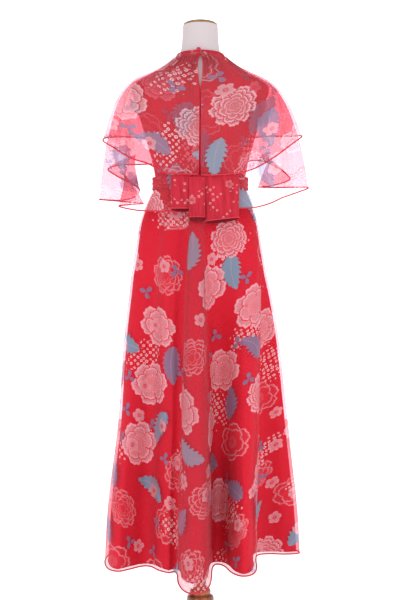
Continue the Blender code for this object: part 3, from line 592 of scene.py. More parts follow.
def rolled_edges(name, grid, left, hem_radius=HEM_RADIUS, edge_radius=EDGE_RADIUS):
    """Tubes along the hem and both sides of a panel; left is the column of its left side, 0 or -1."""
    return [
        tube(f"{name}_hem", grid[-1], hem_radius),
        tube(f"{name}_left_edge", grid[:, left], edge_radius),
        tube(f"{name}_right_edge", grid[:, -1 - left], edge_radius),
    ]


def mid_cloth(grid):
    """Middle of the cloth whose outer face is the grid."""
    return grid - outward(grid) * SHEER / 2


def flat_cut(grid, start, offset=(0.0, 0.0)):
    """Where each point of a draped panel lies on the flat cloth: run across from a column, run down."""
    across = np.linalg.norm(np.diff(grid, axis=1), axis=2)
    run = np.concatenate([np.zeros((len(grid), 1)), np.cumsum(across, axis=1)], axis=1)
    run = run - run[:, start: start + 1]
    down = np.linalg.norm(np.diff(grid, axis=0), axis=2).mean(axis=1)
    drop = np.concatenate([[0.0], np.cumsum(down)])[:, None]
    return xyz(run + offset[0], offset[1] - drop, 0.0)


# ---- shader arithmetic ----
def worked_out(operation, swapped=False):
    """Method of Field that adds a node for the operation."""

    def method(self, other):
        values = (other, self) if swapped else (self, other)
        return maths(self.tree, operation, *values)

    return method


class Field:
    """A number worked out by shader nodes; arithmetic with it adds the nodes."""

    def __init__(self, tree, socket):
        self.tree = tree
        self.socket = socket

    __add__ = worked_out("ADD")
    __radd__ = worked_out("ADD", swapped=True)
    __sub__ = worked_out("SUBTRACT")
    __rsub__ = worked_out("SUBTRACT", swapped=True)
    __mul__ = worked_out("MULTIPLY")
    __rmul__ = worked_out("MULTIPLY", swapped=True)
    __truediv__ = worked_out("DIVIDE")
    __pow__ = worked_out("POWER")


def feed(tree, socket, value):
    if isinstance(value, Field):
        tree.links.new(value.socket, socket)
    elif isinstance(value, tuple) and socket.type == "RGBA":
        socket.default_value = (*value, 1.0)
    else:
        socket.default_value = value


def feed_inputs(node, values):
    """Feeds the node's inputs, given by name or by number."""
    for key, value in values.items():
        feed(node.id_data, node.inputs[key], value)


def new_node(tree, kind, values=None, **settings):
    """Adds a node with its settings and what feeds its inputs."""
    node = tree.nodes.new(kind)
    for name, setting in settings.items():
        setattr(node, name, setting)
    feed_inputs(node, values or {})
    return node


def maths(tree, operation, *values):
    node = new_node(tree, "ShaderNodeMath", dict(enumerate(values)), operation=operation)
    return Field(tree, node.outputs[0])


def sine(value):
    return maths(value.tree, "SINE", value)


def cosine(value):
    return maths(value.tree, "COSINE", value)


def size_of(value):
    return maths(value.tree, "ABSOLUTE", value)


def over(value, limit):
    """1 where the value is over the limit, else 0."""
    return maths(value.tree, "GREATER_THAN", value, limit)


def larger(a, b):
    return maths(a.tree, "MAXIMUM", a, b)


def ramp(value, low, high):
    """Rises smoothly from 0 at low to 1 at high."""
    limits = {"Value": value, "From Min": low, "From Max": high}
    node = new_node(value.tree, "ShaderNodeMapRange", limits, interpolation_type="SMOOTHSTEP")
    return Field(value.tree, node.outputs[0])


def blend(share, low, high):
    """low where the share is 0, high where it is 1."""
    return low + share * (high - low)


def vector(tree, *values):
    return Field(tree, new_node(tree, "ShaderNodeCombineXYZ", dict(zip("XYZ", values))).outputs[0])


def parts(value):
    node = new_node(value.tree, "ShaderNodeSeparateXYZ", {"Vector": value})
    return [Field(value.tree, socket) for socket in node.outputs]


def constant(tree, value):
    node = new_node(tree, "ShaderNodeValue")
    node.outputs[0].default_value = value
    return Field(tree, node.outputs[0])


def stored(tree, name, output):
    """What the mesh stores at the point, and 0 on pieces that store nothing by that name."""
    return Field(tree, new_node(tree, "ShaderNodeAttribute", attribute_name=name).outputs[output])


def flat_place(tree):
    """The point's place on the uncut cloth, in metres."""
    return stored(tree, "flat_place", "Vector")


def doubled_and_shade_share(tree):
    """How much cloth lies behind the point on sheer pieces, and how much painted shade it takes on the bow.
    """
    return stored(tree, "doubled_and_shade", "Fac")


def object_place(tree):
    return Field(tree, new_node(tree, "ShaderNodeTexCoord").outputs["Object"])


def noise(place, scale, detail, roughness=0.5, distortion=0.0):
    node = new_node(place.tree, "ShaderNodeTexNoise", {
        "Vector": place,
        "Scale": scale,
        "Detail": detail,
        "Roughness": roughness,
        "Distortion": distortion,
    })
    return Field(place.tree, node.outputs["Fac"])


def mix_colour(share, low, high):
    node = new_node(share.tree, "ShaderNodeMix", {"Factor": share}, data_type="RGBA")
    colour_inputs = [socket for socket in node.inputs if socket.type == "RGBA"]
    for socket, colour in zip(colour_inputs, (low, high)):
        feed(share.tree, socket, colour)
    return Field(share.tree, [socket for socket in node.outputs if socket.type == "RGBA"][0])


# ---- the print ----
GROUND_PIGMENT = (0.64, 0.045, 0.078)
PEONY_PIGMENT = (0.86, 0.55, 0.62)
SPRAY_PIGMENT = (0.92, 0.68, 0.72)
LEAF_PIGMENT = (0.27, 0.20, 0.34)
LEAF_VEIN = (0.46, 0.33, 0.44)
LEAF_TEAL = (0.17, 0.31, 0.42)
GROUND_COVER = 0.24
PALE_COVER = 0.54
SPRAY_COVER = 0.62
LEAF_COVER = 0.58
GROUND_TINT = (1.0, 0.73, 0.76)
PALE_TINT = (1.0, 0.84, 0.88)
LEAF_TINT = (0.55, 0.66, 0.80)
FLOWER_CELL = 0.166  # metres between the large flowers
PRINT_TURN = 0.32  # radians that the rows of motifs lean


def lattice(place_x, place_y, cell, turned_by, shift, jitter, salt):
    """Square cells over the cloth, with one motif in each.

    Returns the place within the motif, turned at random, and three random numbers of the cell.
    """
    tree = place_x.tree
    c, s = math.cos(turned_by), math.sin(turned_by)
    u = (place_x * (c / cell) + place_y * (s / cell)) + shift[0]
    v = (place_y * (c / cell) - place_x * (s / cell)) + shift[1]
    column, row = maths(tree, "FLOOR", u), maths(tree, "FLOOR", v)
    node = new_node(tree, "ShaderNodeTexWhiteNoise", {"Vector": vector(tree, column, row, salt)})
    chance = Field(tree, node.outputs["Value"])
    one, two, three = parts(Field(tree, node.outputs["Color"]))
    x = (u - column - 0.5 - (one - 0.5) * jitter) * cell
    y = (v - row - 0.5 - (two - 0.5) * jitter) * cell
    angle = three * 6.283  # anything up to a whole turn
    turned_x = x * cosine(angle) + y * sine(angle)
    turned_y = y * cosine(angle) - x * sine(angle)
    return turned_x, turned_y, one, two, chance


def polar(x, y):
    return (x * x + y * y) ** 0.5, maths(x.tree, "ARCTAN2", y, x)


def petal_ring(r, angle, reach, petals, phase, depth):
    """One ring of petals with frilled edges.

    Returns where it lies, how near the petals' pale rims, the dark line where two petals meet, and the
    shadow that the ring casts on the petals outside it.
    """
    tree = r.tree
    place = angle * (petals * (1 / (2 * math.pi))) + phase
    joint = size_of(maths(tree, "FRACT", place) - 0.5) * 2
    frill = sine(place * 25.13 + phase * 9) * 0.022 + sine(place * 12.57) * 0.020
    edge = (1 - joint**2.8 * depth + frill) * reach
    inward = (edge - r) / reach
    inside = ramp(inward, 0.0, 0.03)
    rim = 1 - ramp(inward, 0.05, 0.16)
    gap = ramp(joint, 0.88, 0.98) * ramp(r / reach, 0.50, 0.66)
    shadow = 1 - ramp(0 - inward, 0.0, 0.10)
    return inside, rim, gap, shadow


def peony(x, y, radius, open_share, tonal):
    """How much pale pigment a peony lays down: frilled petals in rings, with veins and dark lines.

    open_share is 1 for an open flower with a ring of stamens; tonal is 1 for one drawn only in outline.
    """
    far, angle = polar(x, y)
    r = far / radius
    veins = ramp(sine(angle * 46 + sine(r * 9) * 0.8), 0.1, 0.9)
    body = blend(open_share, 0.12, 0.24)
    ink, lines, whole = None, None, None
    for reach, petals, phase, depth in (
        (1.0, blend(open_share, 9, 6), 0.30, 0.20),
        (blend(open_share, 0.82, 0.74), blend(open_share, 8, 5), 0.05, 0.20),
        (blend(open_share, 0.63, 0.30), blend(open_share, 6, 8), 0.60, 0.24),
        (blend(open_share, 0.45, 0.20), 5, 0.25, 0.26),
        (blend(open_share, 0.26, 0.10), 3, 0.80, 0.30),
    ):
        inside, rim, gap, shadow = petal_ring(r, angle, reach, petals, phase, depth)
        petal = (body + veins * (0.28 - rim * 0.1) + rim * (0.95 - body)) * (1 - gap * 0.95)
        if ink is None:
            ink, lines, whole = petal, rim, inside
        else:
            ink = blend(inside, ink * (1 - shadow * 0.95), petal)
            lines = blend(inside, lines, rim)
    stamens = ramp(sine(angle * 19 + r * 8), 0.1, 0.7) * (1 - ramp(size_of(r - 0.36), 0.02, 0.07))
    throat = ramp(sine(angle * 38), 0.1, 0.9) * (1 - ramp(r, 0.38, 0.66)) * open_share
    ink = larger(ink * (1 - throat * 0.6), stamens * open_share)
    drawn = lines**2 * 0.25 + veins * 0.04 + 0.02
    return whole * blend(tonal, ink, drawn), whole


def blossom(x, y, radius):
    """Small flower of five petals with a dark eye."""
    far, angle = polar(x, y)
    r = far / radius
    inside, rim, gap, _shadow = petal_ring(r, angle, 1.0, 5, 0.0, 0.34)
    veins = ramp(sine(angle * 35), 0.0, 0.9) * ramp(r, 0.25, 0.5)
    rays = ramp(sine(angle * 15), 0.1, 0.9) * (1 - ramp(r, 0.30, 0.52))
    eye = 1 - ramp(size_of(r - 0.20), 0.05, 0.11) + rays
    ink = (0.42 + rim * 0.44 + veins * 0.18) * (1 - gap * 0.9) * larger(1 - eye * 0.75, 0.0)
    return inside * ink, inside


def leaf(x, y, half_length, half_width):
    """Pointed leaf with a toothed edge: its area, and its midrib and side veins."""
    along = x / half_length
    tooth = maths(x.tree, "FRACT", along * 4.0 + 0.2)
    body = larger(1 - along * along, 0.0) ** 0.75
    lean = 1 - along * 0.28
    edge = body * lean * (0.72 + 0.40 * tooth) * half_width
    bent = size_of(y - (1 - along * along) * half_width * 0.30)
    inside = ramp(edge - bent, 0.0, 0.0010)
    midrib = 1 - ramp(bent, 0.0004, 0.0013)
    side = size_of(maths(x.tree, "FRACT", (x - bent * 1.25) * 135.0) - 0.5) * 2
    veins = larger(midrib, (1 - ramp(side, 0.06, 0.30)) * 0.7)
    return inside, veins


def sprig(x, y, length):
    """Three small leaves from one point."""
    far, angle = polar(x, y)
    r = far / length
    wedge = size_of(cosine(angle * 1.5)) ** 2.2
    thin = ramp(r, 0.0, 0.25)
    return ramp(wedge * (1 - r * 0.55) * thin - r * 0.42 - 0.06, 0.0, 0.05) * (1 - ramp(r, 0.92, 1.0))


def tiny_flowers(x, y, odds, far_out):
    """Very small four-petalled flowers with an open middle, and only dots where far_out is 1.

    odds is the share of the places that have one.
    """
    flower_x, flower_y, _one, _two, kept = lattice(x, y, 0.0125, 0.9, (0.3, 0.1), 0.30, 9.0)
    r, angle = polar(flower_x, flower_y)
    bloom = 0.0032 + 0.0020 * kept
    edge = bloom * (0.76 + 0.30 * size_of(cosine(angle * 2)))
    petals = ramp(edge - r, 0.0, 0.0007) * ramp(r, bloom * 0.26, bloom * 0.52)
    dots = 1 - ramp(r, 0.0010, 0.0017)
    return over(odds - kept, 0.0) * blend(far_out, petals, dots)


def sprays(x, y):
    """Sprays of tiny flowers, thinner towards their rims."""
    spray_x, spray_y, _one, _two, chance = lattice(x, y, 0.205, PRINT_TURN, (0.02, 0.04), 0.24, 5.0)
    spray, spray_angle = polar(spray_x, spray_y)
    out = spray / (0.052 + 0.016 * sine(spray_angle * 2 + 1.0))
    odds = (1.25 - out**2) * over(chance, 0.22)
    return tiny_flowers(x, y, odds, over(out, 0.93))


def print_group():
    """Node group of the chiffon's print: colour of the pigment, and how far it covers the cloth."""
    tree = bpy.data.node_groups.new("floral_print", "ShaderNodeTree")
    for name, way, kind in (
        ("Place", "INPUT", "Vector"),
        ("Pigment", "OUTPUT", "Color"),
        ("Cover", "OUTPUT", "Float"),
        ("Tint", "OUTPUT", "Color"),
    ):
        tree.interface.new_socket(name, in_out=way, socket_type=f"NodeSocket{kind}")
    place = Field(tree, new_node(tree, "NodeGroupInput").outputs["Place"])
    px, py, _pz = parts(place)
    wobble = noise(place, 42.0, 1.0)
    px = px + (wobble - 0.5) * 0.0045
    py = py - (wobble - 0.5) * 0.0045

    x, y, one, two, chance = lattice(px, py, FLOWER_CELL, PRINT_TURN, (0.0, 0.0), 0.24, 11.0)
    tonal = over(chance, 0.44)
    squashed = y * (1.0 + 0.40 * one)
    flower, in_flower = peony(x, squashed, 0.053 + 0.011 * two, over(two, 0.5), tonal)

    x, y, one, _two, chance = lattice(px, py, FLOWER_CELL / 2, PRINT_TURN, (0.5, 0.5), 0.42, 2.0)
    small, in_small = blossom(x, y, 0.0150 + 0.004 * one)
    shown = over(chance, 0.66)
    in_small = in_small * shown
    pale = blend(in_small, flower, small)

    x, y, one, _two, chance = lattice(px, py, FLOWER_CELL, PRINT_TURN, (0.5, 0.5), 0.22, 3.0)
    in_leaf, veins = leaf(x, y, 0.045 + 0.010 * one, 0.026)
    hidden = 1 - larger(in_flower * (1 - tonal), in_small)
    in_leaf = in_leaf * over(chance, 0.38) * hidden
    teal = over(chance, 0.74) * in_leaf

    x, y, _one, _two, chance = lattice(px, py, FLOWER_CELL / 2, PRINT_TURN, (0.0, 0.5), 0.40, 4.0)
    in_sprig = sprig(x, y, 0.020) * over(chance, 0.70) * hidden
    blue = larger(in_leaf, in_sprig)

    spray = sprays(px, py) * (1 - blue) * hidden
    pale = larger(pale * (1 - blue), spray)
    is_pale = ramp(pale, 0.0, 0.25)
    petal = mix_colour(spray, PEONY_PIGMENT, SPRAY_PIGMENT)
    pigment = mix_colour(is_pale, GROUND_PIGMENT, petal)
    leaf_body = mix_colour(teal, LEAF_PIGMENT, LEAF_TEAL)
    leaf_colour = mix_colour(veins * in_leaf, leaf_body, LEAF_VEIN)
    pigment = mix_colour(blue, pigment, leaf_colour)
    cover = GROUND_COVER + (PALE_COVER - GROUND_COVER) * pale + (SPRAY_COVER - PALE_COVER) * spray
    cover = blend(blue, cover, LEAF_COVER + teal * 0.12)
    tint = mix_colour(is_pale, GROUND_TINT, PALE_TINT)
    tint = mix_colour(blue, tint, LEAF_TINT)
    new_node(tree, "NodeGroupOutput", {"Pigment": pigment, "Cover": cover, "Tint": tint})
    return tree


# ---- materials ----
DOUBLED_PIGMENT = (0.38, 0.045, 0.060)
HAZE = (1.0, 0.90, 0.92)
BACK_COVER = 0.05
BACK_TINT = (1.0, 0.93, 0.96)
PAINTED_FOLD_SHADE = (0.17, 0.006, 0.012)  # painted shade of the layers behind the rims of the bow


def new_material(name):
    material = bpy.data.materials.new(name)
    material.use_nodes = True
    tree = material.node_tree
    return material, tree, tree.nodes["Principled BSDF"]


def bump(shader, height, strength, distance):
    """Bumps the shader by a height field."""
    tree = shader.id_data
    node = new_node(tree, "ShaderNodeBump", {"Strength": strength, "Distance": distance, "Height": height})
    tree.links.new(node.outputs["Normal"], shader.inputs["Normal"])


def weave(place, threads_per_metre):
    """Plain weave: threads over and under in both directions."""
    x, y, _z = parts(place)
    step = math.pi * threads_per_metre
    return sine(x * step) * sine(y * step)


def sheer_material(name, front, haze=0.0):
    """Sheer chiffon: part pigment, part clear. Its face carries the print, its back the ground colour.

    haze pales the pigment, as on cloth that hangs free and catches more light.
    """
    material, tree, shader = new_material(name)
    if front:
        group = new_node(tree, "ShaderNodeGroup", node_tree=print_nodes)
        feed_inputs(group, {"Place": flat_place(tree)})
        pigment, cover, tint = (Field(tree, group.outputs[key]) for key in ("Pigment", "Cover", "Tint"))
        pigment = mix_colour(constant(tree, haze), pigment, HAZE)
        doubled_and_shade = doubled_and_shade_share(tree)
        pigment = mix_colour(doubled_and_shade * 0.45, pigment, DOUBLED_PIGMENT)
        cover = cover + doubled_and_shade * 0.16
    else:
        pigment, cover, tint = GROUND_PIGMENT, BACK_COVER, BACK_TINT
    feed_inputs(shader, {
        "Base Color": pigment,
        "Roughness": 0.75,
        "Specular IOR Level": 0.12,
        "Sheen Weight": 0.06,
        "Sheen Roughness": 0.5,
    })
    clear = new_node(tree, "ShaderNodeBsdfTransparent", {"Color": tint})
    layers = {"Fac": cover, 1: Field(tree, clear.outputs[0]), 2: Field(tree, shader.outputs[0])}
    mix = new_node(tree, "ShaderNodeMixShader", layers)
    tree.links.new(mix.outputs[0], tree.nodes["Material Output"].inputs["Surface"])
    return material


def folded_material(name):
    """The same chiffon in several layers, as in the bow and sash: not clear, with only small flowers."""
    material, tree, shader = new_material(name)
    place = flat_place(tree)
    x, y, _z = parts(place)
    groups = noise(place, 26.0, 1.0)
    flowers = tiny_flowers(x, y, ramp(groups, 0.46, 0.62) * 0.6, 0.0)
    blossom_x, blossom_y, one, _two, chance = lattice(x, y, 0.047, 0.3, (0.2, 0.7), 0.50, 7.0)
    blooms, _inside = blossom(blossom_x, blossom_y, 0.009 + 0.003 * one)
    pale = larger(flowers * 0.34, blooms * over(chance, 0.60) * 0.26)
    # painted light and shade of the folds: the ground goes darker and lighter in long streaks along the
    # cloth
    painted_fold_shading = noise(vector(tree, x * 3.0, y * 0.35), 34.0, 3.0)
    ground = mix_colour(ramp(painted_fold_shading, 0.30, 0.70), (0.40, 0.012, 0.026), (0.55, 0.022, 0.044))
    printed = mix_colour(pale, ground, SPRAY_PIGMENT)
    feed_inputs(shader, {
        # painted shade: the bow's hidden layers go dark by the share they store
        "Base Color": mix_colour(doubled_and_shade_share(tree), printed, PAINTED_FOLD_SHADE),
        "Roughness": 0.7,
        "Specular IOR Level": 0.15,
        "Sheen Weight": 0.06,
    })
    bump(shader, weave(place, 900), 0.25, 0.0003)
    return material


def lining_material():
    material, tree, shader = new_material("red_lining")
    place = flat_place(tree)
    feed_inputs(shader, {
        "Base Color": mix_colour(noise(place, 6.0, 3.0), (0.66, 0.008, 0.032), (0.74, 0.012, 0.043)),
        "Roughness": 0.6,
        "Specular IOR Level": 0.15,
        "Sheen Weight": 0.04,
    })
    bump(shader, weave(place, 1100), 0.2, 0.0002)
    return material


def hem_material():
    """Rolled hem: the red ground, many layers deep, with its small slanting stitches."""
    material, tree, shader = new_material("rolled_hem")
    x, y, z = parts(object_place(tree))
    stitch = sine((x + y + z) * 1400.0)
    thread = ramp(stitch, -0.3, 0.9)
    colour = mix_colour(thread, (0.50, 0.008, 0.026), (0.68, 0.02, 0.06))
    feed_inputs(shader, {"Base Color": colour, "Roughness": 0.65})
    bump(shader, stitch, 0.5, 0.0003)
    return material


def form_material():
    """Stretched cotton cover of the dress form."""
    material, tree, shader = new_material("form_cover")
    place = object_place(tree)
    colour = mix_colour(noise(place, 9.0, 3.0), (0.555, 0.482, 0.500), (0.615, 0.542, 0.560))
    feed_inputs(shader, {"Base Color": colour, "Roughness": 0.85, "Sheen Weight": 0.15})
    x, y, z = parts(place)
    bump(shader, sine(z * 2600.0) * sine((x + y) * 2600.0), 0.15, 0.0002)
    return material


def brass_material():
    material, tree, shader = new_material("dark_brass")
    worn = noise(object_place(tree), 30.0, 4.0)
    colour = mix_colour(worn, (0.22, 0.11, 0.055), (0.42, 0.24, 0.12))
    feed_inputs(shader, {"Base Color": colour, "Metallic": 0.9, "Roughness": blend(worn, 0.48, 0.32)})
    return material


def wood_material():
    """Reddish-brown varnished wood with its grain along the pole."""
    material, tree, shader = new_material("turned_wood")
    x, y, z = parts(object_place(tree))
    stretched = vector(tree, x * 1.0, y * 1.0, z * 0.12)
    grain = noise(stretched, 60.0, 5.0, 0.6, 0.6)
    fine = noise(stretched, 260.0, 2.0)
    share = ramp(grain * 0.75 + fine * 0.25, 0.35, 0.66)
    colour = mix_colour(share, (0.13, 0.033, 0.015), (0.50, 0.165, 0.060))
    feed_inputs(shader, {"Base Color": colour, "Roughness": blend(grain, 0.30, 0.46), "Coat Weight": 0.4})
    bump(shader, grain, 0.15, 0.0006)
    return material


print_nodes = print_group()
WRONG_SIDE = sheer_material("chiffon_wrong_side", False)
PRINTED = [sheer_material("printed_chiffon", True), WRONG_SIDE]
CAPE = [sheer_material("printed_chiffon_of_the_capelet", True, haze=0.06), WRONG_SIDE]
FOLDED = [folded_material("folded_chiffon")]
LINING = [lining_material()]
HEM = hem_material()
FORM = [form_material()]
BRASS = [brass_material()]
WOOD = [wood_material()]


# ---- the dress form ----
TURNED_SIDES = 96
CAP_INSET = 0.003
# how far in from the neck cap's widest line, and height
CAP_RIM = ((0.0012, 0.0), (0.0003, 0.0008), (0.0, 0.0020), (0.0002, 0.0049), (0.0022, 0.0055))
# radius and height of the pole's turned hub, up to the plain pole
POLE_PROFILE = (
    (0.0460, 0.0480),
    (0.0425, 0.0525),
    (0.0380, 0.0580),
    (0.0352, 0.0680),
    (0.0340, 0.0800),
    (0.0350, 0.0930),
    (0.0365, 0.1050),
    (0.0372, 0.1140),
    (0.0370, 0.1220),
    (0.0355, 0.1270),
    (0.0325, 0.1300),
    (0.0250, 0.1315),
    (0.0262, 0.1325),
    (0.0280, 0.1355),
    (0.0286, 0.1395),
    (0.0280, 0.1435),
    (0.0255, 0.1475),
    (0.0215, 0.1505),
    (0.0180, 0.1550),
    (0.0168, 0.1620),
    (0.0160, 0.3000),
)
# how far in from the base's rim, and height
BASE_RIM = (
    (0.0030, 0.0000),
    (0.0006, 0.0015),
    (0.0000, 0.0040),
    (0.0000, 0.0160),
    (0.0015, 0.0195),
    (0.0080, 0.0240),
    (0.0200, 0.0275),
    (0.0400, 0.0300),
)
# radius and height of the rise towards the hub
BASE_TOP = ((0.110, 0.0345), (0.080, 0.0370), (0.066, 0.0386), (0.060, BASE_HEIGHT))


def turned(name, profile, materials):
    angles = full_turn(TURNED_SIDES)
    rings = [xyz(radius * np.sin(angles), radius * np.cos(angles), height) for radius, height in profile]
    return stacked_rings(name, rings, materials)


def form():
    heights = np.concatenate([
        np.linspace(TORSO_BOTTOM, 1.50, 40)[:-1],
        np.linspace(1.50, 1.65, 40)[:-1],
        np.linspace(1.65, NECK_TOP, 8),
    ])
    rings = figure(np.arange(0.0, 360.0, 3.0), heights[:, None])
    middle = xyz(0.0, 0.0, heights[:, None])
    rings = rings - unit(rings - middle) * FORM_INSET
    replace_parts(stacked_rings("form_cover", rings, FORM), "form_torso")

    radius = FIGURE["width"][-1] - CAP_INSET
    bottom = NECK_TOP + SEAM
    profile = [(radius - inward, bottom + rise) for inward, rise in CAP_RIM]
    for angle in np.radians(np.arange(8, 88, 8)):
        height = bottom + CAP_RIM[-1][1] + (CAP_DOME - CAP_RIM[-1][1]) * math.sin(angle)
        profile.append(((radius - 0.0026) * math.cos(angle), height))
    profile.append((0.0012, bottom + CAP_DOME))
    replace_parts(turned("neck_cap", profile, BRASS), "form_neck_cap")

    bottom = BASE_HEIGHT + SEAM
    profile = [(0.046, bottom), *POLE_PROFILE, (POLE_PROFILE[-1][0], TORSO_BOTTOM - SEAM)]
    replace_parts(turned("stand_pole", profile, WOOD), "form_pole")

    profile = [(BASE_RADIUS - inward, height) for inward, height in BASE_RIM]
    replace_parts(turned("stand_base", [*profile, *BASE_TOP], WOOD), "form_base")


# ---- the bodice ----
def armhole_reach(height, reach):
    top, bottom = 1.526, 1.402
    share = np.clip((height - bottom) / (top - bottom), 0, 1)
    return reach * np.sin(np.pi * share) ** 0.6


def keyhole_half_gap(height):
    top, bottom, half_width = NECK_BACK_HEIGHT - 0.004, 1.500, 4.2
    share = np.clip((height - bottom) / (top - bottom), 0, 1)
    return 0.16 + half_width * np.sin(np.pi * share**1.7)


def bodice_panel(edge_turn):
    """Left half of the back (from turn 0) or of the front (from turn 180), from its centre to its side."""
    column_shares = np.linspace(0, 1, 46)
    lower = np.concatenate([np.linspace(1.545, 1.49, 16)[:-1], np.linspace(1.49, WAIST_HEIGHT + SEAM, 34)])
    side_seam = 0.25
    above = 12
    grid = np.empty((above + len(lower), len(column_shares), 3))
    level = BODICE_LEVEL - CAD_WALL / 2 + SHEER / 2
    for c, share in enumerate(column_shares):
        turn = edge_turn + (90 - edge_turn) * share
        neck = float(neck_height(turn)) - SEAM
        upper = np.linspace(neck, lower[0], above + 1)[:-1]
        heights = np.concatenate([upper, lower])
        if edge_turn < 90:
            near_edge = keyhole_half_gap(heights)
            far_edge = 90 - armhole_reach(heights, BACK_SCOOP) - side_seam
        else:
            near_edge = np.full_like(heights, edge_turn)
            far_edge = 90 + armhole_reach(heights, FRONT_SCOOP) + side_seam
        turns = near_edge + (far_edge - near_edge) * share
        grid[:, c] = on_figure(turns, heights, level)
    return grid


def mirrored(grid):
    return (grid * np.array([-1.0, 1.0, 1.0]))[:, ::-1]


def bodice():
    left = bodice_panel(0)
    shares = np.linspace(0, 1, len(left))
    push = creased(np.linspace(0, 90, left.shape[1]), shares, BODICE_CREASES)
    left = left + outward(left) * push[..., None]
    front_left = bodice_panel(180)[:, ::-1]
    front = np.concatenate([front_left, mirrored(front_left)[:, 1:]], axis=1)
    push = creased(np.linspace(90, 270, front.shape[1]), shares, BODICE_CREASES)
    front = front + outward(front) * push[..., None]
    for name, grid, node in (
        ("bodice_left_back", left, "bodice_back_left"),
        ("bodice_right_back", mirrored(left), "bodice_back_right"),
        ("bodice_fore", front, "bodice_front"),
    ):
        piece = shell(name, grid, LINING, flat_cut(grid, 0))
        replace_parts(piece, node)


# ---- the capelet ----
# rows of each tier's grid: down the body, hanging free, and the lower tier's own below the upper one
UPPER_LIE_ROWS, UPPER_HANG_ROWS = 26, 26
LOWER_LIE_ROWS, LOWER_HANG_ROWS, LOWER_OWN_ROWS = 20, 20, 18
UPPER_PER_ROW, LOWER_PER_ROW = 12, 9  # columns for each row of the hem's table
UPPER_PULL, LOWER_PULL = 0.6, 0.4  # how much steeper the cloth arrives at its hem
UPPER_SWEEP, LOWER_SWEEP = 0.37, 0.40  # flat angle for each degree of turn
UPPER_PRINT, LOWER_PRINT = (0.35, 0.10), (1.02, 0.93)  # place of the print
STEEP_SHARE, MOST_DOUBLED = 5.0, 2.2  # how much cloth the slope of a crease's side puts behind it, at most


def hem_rows(left, front, right):
    flipped = [(360 - turn, x, y, z) for turn, x, y, z in reversed(right)]
    return np.array([*left, front, *flipped], float)


def cape_columns(rows, per_row):
    at = np.linspace(0, len(rows) - 1, (len(rows) - 1) * per_row + 1)
    return through_rows(rows, at, closed=False)


def from_back(turns):
    """Degrees from the centre back, on either side."""
    return np.minimum(turns, 360 - turns)


def hung_curve(start, leave, hem, pull, steps):
    """Hermite curve for cloth that leaves start along leave and falls to its hem, the steeper the pull."""
    arrive = unit(unit(hem - start) + np.array([0.0, 0.0, -pull]))
    reach = np.linalg.norm(hem - start, axis=-1, keepdims=True)
    lines = []
    for t in steps:
        lines.append(
            (2 * t**3 - 3 * t**2 + 1) * start
            + (t**3 - 2 * t**2 + t) * reach * leave
            + (3 * t**2 - 2 * t**3) * hem
            + (t**3 - t**2) * reach * arrive
        )
    return np.array(lines)


def upper_tier(turns, hem, lie_rows, hang_steps):
    """Grid of the upper tier: lying on the shoulders down to its break, then hanging free to its hem."""
    break_height = eased(CAPE_BREAK, "turn", "height", from_back(turns))
    neck = neck_height(turns) - 2 * SEAM
    run = np.linspace(0, 1, 25)[:, None]
    heights = neck + (break_height - neck) * run
    lie = on_figure(turns[None, :], heights, UPPER_CAPE_LEVEL + CAPE_LIFT * run**2)
    leave = unit(lie[-1] - lie[-2])
    lie = even_steps(lie, 1 - (1 - np.linspace(0, 1, lie_rows + 1)) ** 1.25)
    hang = hung_curve(lie[-1], leave, hem, UPPER_PULL, hang_steps[1:])
    return np.concatenate([lie, hang])


def slit_gap(height, low_half):
    """Half the width of the slit: a keyhole at its top, and low_half below the bow's top."""
    table = {
        "height": (1.16, 1.25, 1.275, 1.295, 1.49, 1.52, 1.55, 1.578, 1.592, 1.603),
        "half": (low_half, low_half, low_half, 0.0012, 0.0012, 0.0024, 0.0052, 0.0070, 0.0060, 0.0016),
    }
    return eased(table, "height", "half", height)


def open_slit(grid, middle, low_half):
    """Moves the cloth beside the centre back, from drawn_in on, so that its edges follow the slit."""
    reach, drawn_in = 0.060, 0.0034
    half = slit_gap(grid[..., 2], low_half)
    back = grid[..., 1] > 0
    x = grid[..., 0] - middle
    near = back & (np.abs(x) < reach)
    side = np.ones(grid.shape[1])
    side[grid.shape[1] // 2:] = -1
    moved = half + np.maximum(x * side - drawn_in, 0) * (reach - half) / (reach - drawn_in)
    grid[..., 0] = np.where(near, middle + side * moved, grid[..., 0])
    return grid


def lower_tier(row, rows_up):
    """Grid of the lower tier, nested under the upper one down to that one's hem."""
    turns = row[:, 0]
    at_up = np.interp(turns, rows_up[:, 0], np.arange(len(rows_up)))
    hem_up = through_rows(rows_up, at_up, closed=False)[:, 1:]
    steps = np.linspace(0, 1, LOWER_HANG_ROWS + 1)
    cover = upper_tier(turns, hem_up, LOWER_LIE_ROWS, steps)
    lying = np.linspace(0, LIE_SHARE, LOWER_LIE_ROWS + 1)
    shares = np.concatenate([lying, LIE_SHARE + (1 - LIE_SHARE) * steps[1:]])
    bow_room = BOW_ROOM * np.maximum(1 - (from_back(turns) / BOW_ROOM_TURN) ** 2, 0) ** 2
    hanging = np.maximum(shares - LIE_SHARE, 0) / (1 - LIE_SHARE)
    gap = eased(TIER_NEST, "share", "gap", shares)[:, None] + bow_room[None, :] * (hanging**2)[:, None]
    nested = cover - outward(cover) * gap[..., None]
    leave = unit(nested[-1] - nested[-2])
    own_steps = np.linspace(0, 1, LOWER_OWN_ROWS + 1)[1:]
    below = hung_curve(nested[-1], leave, row[:, 1:], LOWER_PULL, own_steps)
    return np.concatenate([nested, below])


def circle_cut(grid, turns, inner_radius, sweep, offset):
    """Place on the flat cloth of a tier that is cut as a ring: radius from the neck, angle by turn."""
    down = np.linalg.norm(np.diff(grid, axis=0), axis=2)
    radius = inner_radius + np.concatenate([np.zeros((1, len(turns))), np.cumsum(down, axis=0)])
    angle = np.radians(turns)[None, :] * sweep
    return xyz(radius * np.sin(angle) + offset[0], offset[1] - radius * np.cos(angle), 0.0)


